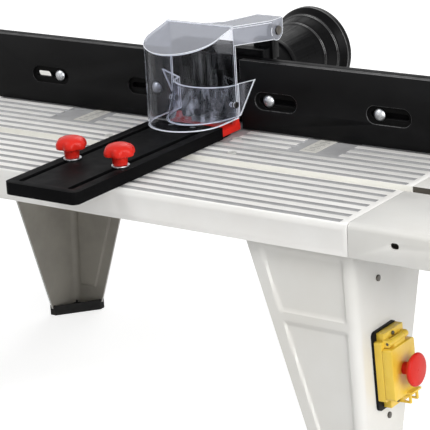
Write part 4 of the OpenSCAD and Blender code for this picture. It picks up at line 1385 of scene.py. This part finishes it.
@dataclass
class Fence:
    """The fence body, its facings, bolts, clamps and the dust box with its port."""

    face_y: float = 225.6
    recess: float = 3.0
    gap: float = 0.3
    bolt_xs: Sequence[float] = (-209, -74, 74, 209)
    bolt_z: float = 33.5
    bolt_r: float = 3.0
    bolt_tail: float = 11.0
    bolt_ease: float = 0.5
    dome_r: float = 6.8
    dome_h: float = 4.0
    dome_rim: float = 0.4
    worn_from: float = 0.03
    recess_slack: float = 0.2
    body_back: float = 242.7
    screw_x: float = 50.0
    screw_zs: Sequence[float] = (12, 70)
    box_wall: float = 3.0
    port_steps: Sequence[float] = (401.7, 419.7, 430.7)
    step_band: float = 1.0

    def build(self, fasteners: Tree) -> None:
        """Builds and dresses the fence.

        Args:
            fasteners: The fastener tree.
        """
        put_rounded("fence_body", SATIN_BLACK, Edge.SOFT)
        for side in Side:
            self.build_facing(side.node("facing"))
            Knob(side.node("clamp_knob"), diameter=34, height=22).build()
        for i in range(1, 5):
            put_rounded(f"facing_nut_{i}", GRAINED_BLACK, Edge.SOFT)
        put_rounded("dust_box", SMOOTH_BLACK, Edge.MOULDED, 3)
        self.build_port()
        put_rounded("clamp_bolts", ZINC, Edge.BROKEN)
        seat_y = self.body_back + self.box_wall
        Screws(
            "box_screws",
            head_radius=3.2,
            head_height=2.0,
            shaft_radius=1.6,
            shaft_length=9.0,
            axis=Vector((0, 1, 0)),
            seats=[SPACE.at(side.value * self.screw_x, seat_y, z) for z in self.screw_zs for side in Side],
            recess=1.0,
        ).build(fasteners)
        self.build_bolts()

    def build_facing(self, node: str) -> None:
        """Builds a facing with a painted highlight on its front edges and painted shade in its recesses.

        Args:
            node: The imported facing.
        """
        mesh = rounded_mesh(merged_mesh(node), Edge.SOFT, 3)
        facing = put(f"{node}_piece", mesh, [GRAINED_BLACK, EDGE_HIGHLIGHT_BLACK, RECESS_SHADE_BLACK], [node])
        # Painted light: front edge faces take the lighter highlight finish and recess faces the darker shade
        # finish
        for face in facing.data.polygons:
            depth = (face.center.y - SPACE.front_m) / MM - self.face_y
            if self.worn_from < depth < Edge.SOFT.value:
                face.material_index = 1
            elif Edge.SOFT.value <= depth < self.recess + self.recess_slack:
                face.material_index = 2

    def build_port(self) -> None:
        """Builds the hose port, with a painted highlight on its step edges."""
        mesh = rounded_mesh(merged_mesh("dust_port"), Edge.SOFT, 3)
        port = put("dust_port_piece", mesh, [SMOOTH_BLACK, STEP_HIGHLIGHT_BLACK], ["dust_port"])
        # Faces near the steps take the lighter finish, a painted highlight
        for face in port.data.polygons:
            y = (face.center.y - SPACE.front_m) / MM
            face.material_index = int(min(abs(y - step) for step in self.port_steps) < self.step_band)

    def build_bolts(self) -> None:
        """Builds the domed bolts in the facings' slots."""
        seat = self.face_y + self.recess - self.gap
        reach = self.body_back + self.bolt_tail - seat
        ball = (self.dome_h**2 + self.dome_r**2) / (2 * self.dome_h)
        edge = math.degrees(math.asin(self.dome_r / ball))
        r, broken, rim = self.bolt_r, self.bolt_ease, -self.dome_rim
        profile = [(-reach, 0.1), (-reach, r - broken), (broken - reach, r), (rim, r)]
        profile += [(rim, self.dome_r - broken), (0, self.dome_r - 0.1)]
        profile += arc((self.dome_h - ball, 0), ball, edge - 3, 1, 10)
        parts = []
        for x in self.bolt_xs:
            turn = Matrix.Translation(SPACE.at(x, seat, self.bolt_z)) @ Matrix.Rotation(math.pi / 2, 4, "X")
            parts.append(turned_mesh("bolt", profile, turn, 40))
        put("facing_bolts_piece", joined_mesh("facing_bolts", parts), [ZINC], ["facing_bolts"])


@dataclass
class Guard:
    """The clear guard, its inner shield and their fixings."""

    bead: float = 0.42
    bead_sink: float = 0.3
    bead_sides: int = 8
    flat_area: float = 600.0
    arm_y: float = 216.5

    def build(self) -> None:
        """Builds and dresses the guard."""
        for node in ("hood", "inner_shield"):
            self.build_sheet(node)
        put_rounded("shield_rivets", BLACKED_STEEL, Edge.BROKEN)
        put_rounded("hood_pin", BLACKED_STEEL, Edge.BROKEN)

    def build_sheet(self, node: str) -> None:
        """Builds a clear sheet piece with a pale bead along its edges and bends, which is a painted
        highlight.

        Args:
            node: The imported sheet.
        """
        mesh = merged_mesh(node)
        beads = self.bead_mesh(mesh)
        walls = len(mesh.polygons)
        parts = joined_mesh(node, [mesh, beads])
        smooth(parts)
        plain = CLEAR if node == "hood" else WIPED_AND_STREAKED
        sheet = put(f"{node}_piece", parts, [plain, SCUFFED_SHEEN, CLEAR_EDGE_HIGHLIGHT], [node])
        # Roof and arm faces take the greyer sheet, which is partly painted sheen
        for face in sheet.data.polygons:
            face.material_index = int(node == "hood" and self.is_scuffed(face)) if face.index < walls else 2
            if face.area > self.flat_area * MM * MM:
                face.use_smooth = False

    def bead_mesh(self, mesh: bpy.types.Mesh) -> bpy.types.Mesh:
        """Lays a thin round bead just inside the sharp edges of a sheet, as a painted highlight.

        Args:
            mesh: The sheet.

        Returns:
            The beads.
        """
        sheet, beads = bmesh.new(), bmesh.new()
        sheet.from_mesh(mesh)
        for edge in sheet.edges:
            if len(edge.link_faces) != 2 or edge.calc_face_angle() < math.radians(SHARP):
                continue
            start, end = (v.co for v in edge.verts)
            out = (edge.link_faces[0].normal + edge.link_faces[1].normal).normalized()
            middle = (start + end) / 2 - out * self.bead_sink * MM
            turn = (end - start).to_track_quat("Z", "Y").to_matrix().to_4x4()
            bmesh.ops.create_cone(
                beads,
                cap_ends=True,
                segments=self.bead_sides,
                radius1=self.bead * MM,
                radius2=self.bead * MM,
                depth=(end - start).length,
                matrix=Matrix.Translation(middle) @ turn,
            )
        result = bpy.data.meshes.new("beads")
        beads.to_mesh(result)
        for work in (sheet, beads):
            work.free()
        return result

    def is_scuffed(self, face: bpy.types.MeshPolygon) -> bool:
        """Tells whether a face of the guard belongs to its roof or its arm."""
        return abs(face.normal.z) > 0.5 or face.center.y > SPACE.at(0, self.arm_y, 0).y


@dataclass
class HoldInBar:
    """The slotted bar with its red shoe, studs, washers and knobs."""

    def build(self) -> None:
        """Builds and dresses the bar."""
        put_rounded("slide_bar", SATIN_BLACK, Edge.MOULDED, 3)
        put_rounded("red_shoe", RED_ABS, Edge.BROKEN)
        put_rounded("shoe_screws", ZINC, Edge.CRISP)
        put_rounded("bar_studs", ZINC, Edge.CRISP)
        put_rounded("stud_washers", ZINC, Edge.CRISP)
        for side in Side:
            Knob(side.node("bar_knob"), diameter=32.5, height=22).build()


@dataclass
class Switch:
    """The flap-covered switch on the front right leg."""

    def build(self) -> None:
        """Builds and dresses the switch."""
        put_rounded("switch_plate", GRAINED_BLACK, Edge.SOFT, 3)
        for node in ("switch_case", "flap_lid"):
            put_rounded(node, YELLOW_ABS, Edge.SOFT, 3)
        put_rounded("lock_hasp", YELLOW_ABS, Edge.BROKEN, 3)
        put_rounded("contact_block", GREY_NYLON, Edge.SOFT)
        put_rounded("switch_box", ZINC, Edge.BROKEN)
        put_rounded("switch_screws", BLACKED_STEEL, Edge.CRISP)
        put_rounded("lid_pin", BLACKED_STEEL, Edge.CRISP)
        put_rounded("start_button", GREEN_ABS, Edge.SOFT, 3)
        put_rounded("stop_button", RED_ABS, Edge.SOFT, 3)
        put_rounded("stop_mushroom", RED_ABS, Edge.SOFT, 3)


@dataclass(frozen=True)
class Lamp:
    """A soft square lamp."""

    name: str
    place_m: tuple[float, float, float]
    width_m: float
    watts: float

    def build(self, aim_m: float) -> None:
        """Hangs the lamp.

        Args:
            aim_m: The height over the middle of the floor that it is aimed at.
        """
        data = bpy.data.lights.new(self.name, "AREA")
        data.size = self.width_m
        data.energy = self.watts
        lamp = bpy.data.objects.new(self.name, data)
        lamp.location = self.place_m
        ahead = Vector((0, 0, aim_m)) - Vector(self.place_m)
        lamp.rotation_euler = ahead.to_track_quat("-Z", "Y").to_euler()
        bpy.context.scene.collection.objects.link(lamp)


@dataclass
class Studio:
    """The floor, the lamps and a camera at the photograph's angle."""

    eye: tuple[float, float, float] = (1197.4, -1456.1, 571.8)
    yaw: float = 35.50
    pitch: float = 18.10
    roll: float = -3.17
    focal_pixels: float = 1976.0
    image_pixels: float = 430.0
    sensor: float = 36.0
    floor_reach_m: float = 14.0
    floor_colour: str = "#d0d0d0"
    floor_glow: float = 0.72
    world_colour: str = "#ffffff"
    world_light: float = 0.37
    aim_m: float = 0.25
    lamps: Sequence[Lamp] = (
        Lamp("key", (-1.0, -1.7, 3.3), width_m=1.8, watts=47.0),
        Lamp("fill", (3.0, -1.1, 1.5), width_m=2.4, watts=96.0),
        Lamp("rim", (-0.6, 2.6, 2.4), width_m=2.0, watts=22.0),
    )

    def build(self) -> None:
        """Builds the studio."""
        bpy.context.scene.view_settings.view_transform = "Standard"
        self.build_floor()
        self.build_world()
        for lamp in self.lamps:
            lamp.build(self.aim_m)
        self.build_camera()

    def white_to_eye(self, tree: bpy.types.NodeTree) -> bpy.types.NodeSocket:
        """Finds the rays that should see a white ground: from the camera, in gloss and through clear sheet.

        Args:
            tree: The material's or the world's tree.

        Returns:
            A socket that is 1 for those rays.
        """
        path = add_node(tree, "ShaderNodeLightPath").outputs
        gloss = add_node(
            tree, "ShaderNodeMath", {0: path["Is Camera Ray"], 1: path["Is Glossy Ray"]}, operation="MAXIMUM"
        )
        every = add_node(
            tree, "ShaderNodeMath", {0: gloss.outputs[0], 1: path["Is Transmission Ray"]}, operation="MAXIMUM"
        )
        return every.outputs[0]

    def build_floor(self) -> None:
        """Lays a pale floor that keeps the object's shadow."""
        mesh = bpy.data.meshes.new("floor")
        r = self.floor_reach_m
        mesh.from_pydata([(-r, -r, 0), (r, -r, 0), (r, r, 0), (-r, r, 0)], [], [(0, 1, 2, 3)])
        floor = bpy.data.objects.new("floor", mesh)
        bpy.context.scene.collection.objects.link(floor)
        material = bpy.data.materials.new("white_floor")
        material.use_nodes = True
        tree = material.node_tree
        tree.nodes.remove(tree.nodes["Principled BSDF"])
        paint = add_node(tree, "ShaderNodeBsdfDiffuse", {"Color": to_linear(self.floor_colour)})
        glow = add_node(tree, "ShaderNodeEmission", {"Strength": self.floor_glow})
        lifted = add_node(tree, "ShaderNodeAddShader", {0: paint.outputs[0], 1: glow.outputs[0]})
        seen = add_node(
            tree,
            "ShaderNodeMixShader",
            {0: self.white_to_eye(tree), 1: paint.outputs[0], 2: lifted.outputs[0]},
        )
        tree.links.new(seen.outputs[0], tree.nodes["Material Output"].inputs["Surface"])
        mesh.materials.append(material)

    def build_world(self) -> None:
        """Lights the room evenly and shows it white to the eye."""
        world = bpy.data.worlds.new("studio")
        bpy.context.scene.world = world
        world.use_nodes = True
        tree = world.node_tree
        level = add_node(
            tree,
            "ShaderNodeMix",
            {"Factor": self.white_to_eye(tree), 2: self.world_light, 3: 1.0},
            data_type="FLOAT",
        )
        tree.links.new(level.outputs[0], tree.nodes["Background"].inputs["Strength"])
        tree.nodes["Background"].inputs["Color"].default_value = to_linear(self.world_colour)

    def build_camera(self) -> None:
        """Sets the camera where the photograph was taken from."""
        yaw, pitch, roll = (math.radians(v) for v in (self.yaw, self.pitch, self.roll))
        ahead = Vector((-math.sin(yaw) * math.cos(pitch), math.cos(yaw) * math.cos(pitch), -math.sin(pitch)))
        level = Vector((math.cos(yaw), math.sin(yaw), 0))
        up = level.cross(ahead)
        right = math.cos(roll) * level + math.sin(roll) * up
        top = math.cos(roll) * up - math.sin(roll) * level
        data = bpy.data.cameras.new("camera")
        data.sensor_width = self.sensor
        data.sensor_fit = "HORIZONTAL"
        data.lens = self.sensor * self.focal_pixels / self.image_pixels
        camera = bpy.data.objects.new("camera", data)
        turn = Matrix((right, top, -ahead)).transposed().to_4x4()
        camera.matrix_world = Matrix.Translation(SPACE.at(*self.eye)) @ turn
        bpy.context.scene.collection.objects.link(camera)
        bpy.context.scene.camera = camera


def main() -> None:
    """Builds every sub-assembly in order."""
    logging.basicConfig(level=logging.INFO, format="%(message)s")
    fasteners, ticks = fastener_tree(), tick_tree()
    Casting().build(fasteners, ticks)
    Wings().build(fasteners)
    Legs().build(fasteners)
    Fence().build(fasteners)
    Guard().build()
    HoldInBar().build()
    Switch().build()
    Studio().build()


if __name__ == "__main__":
    main()
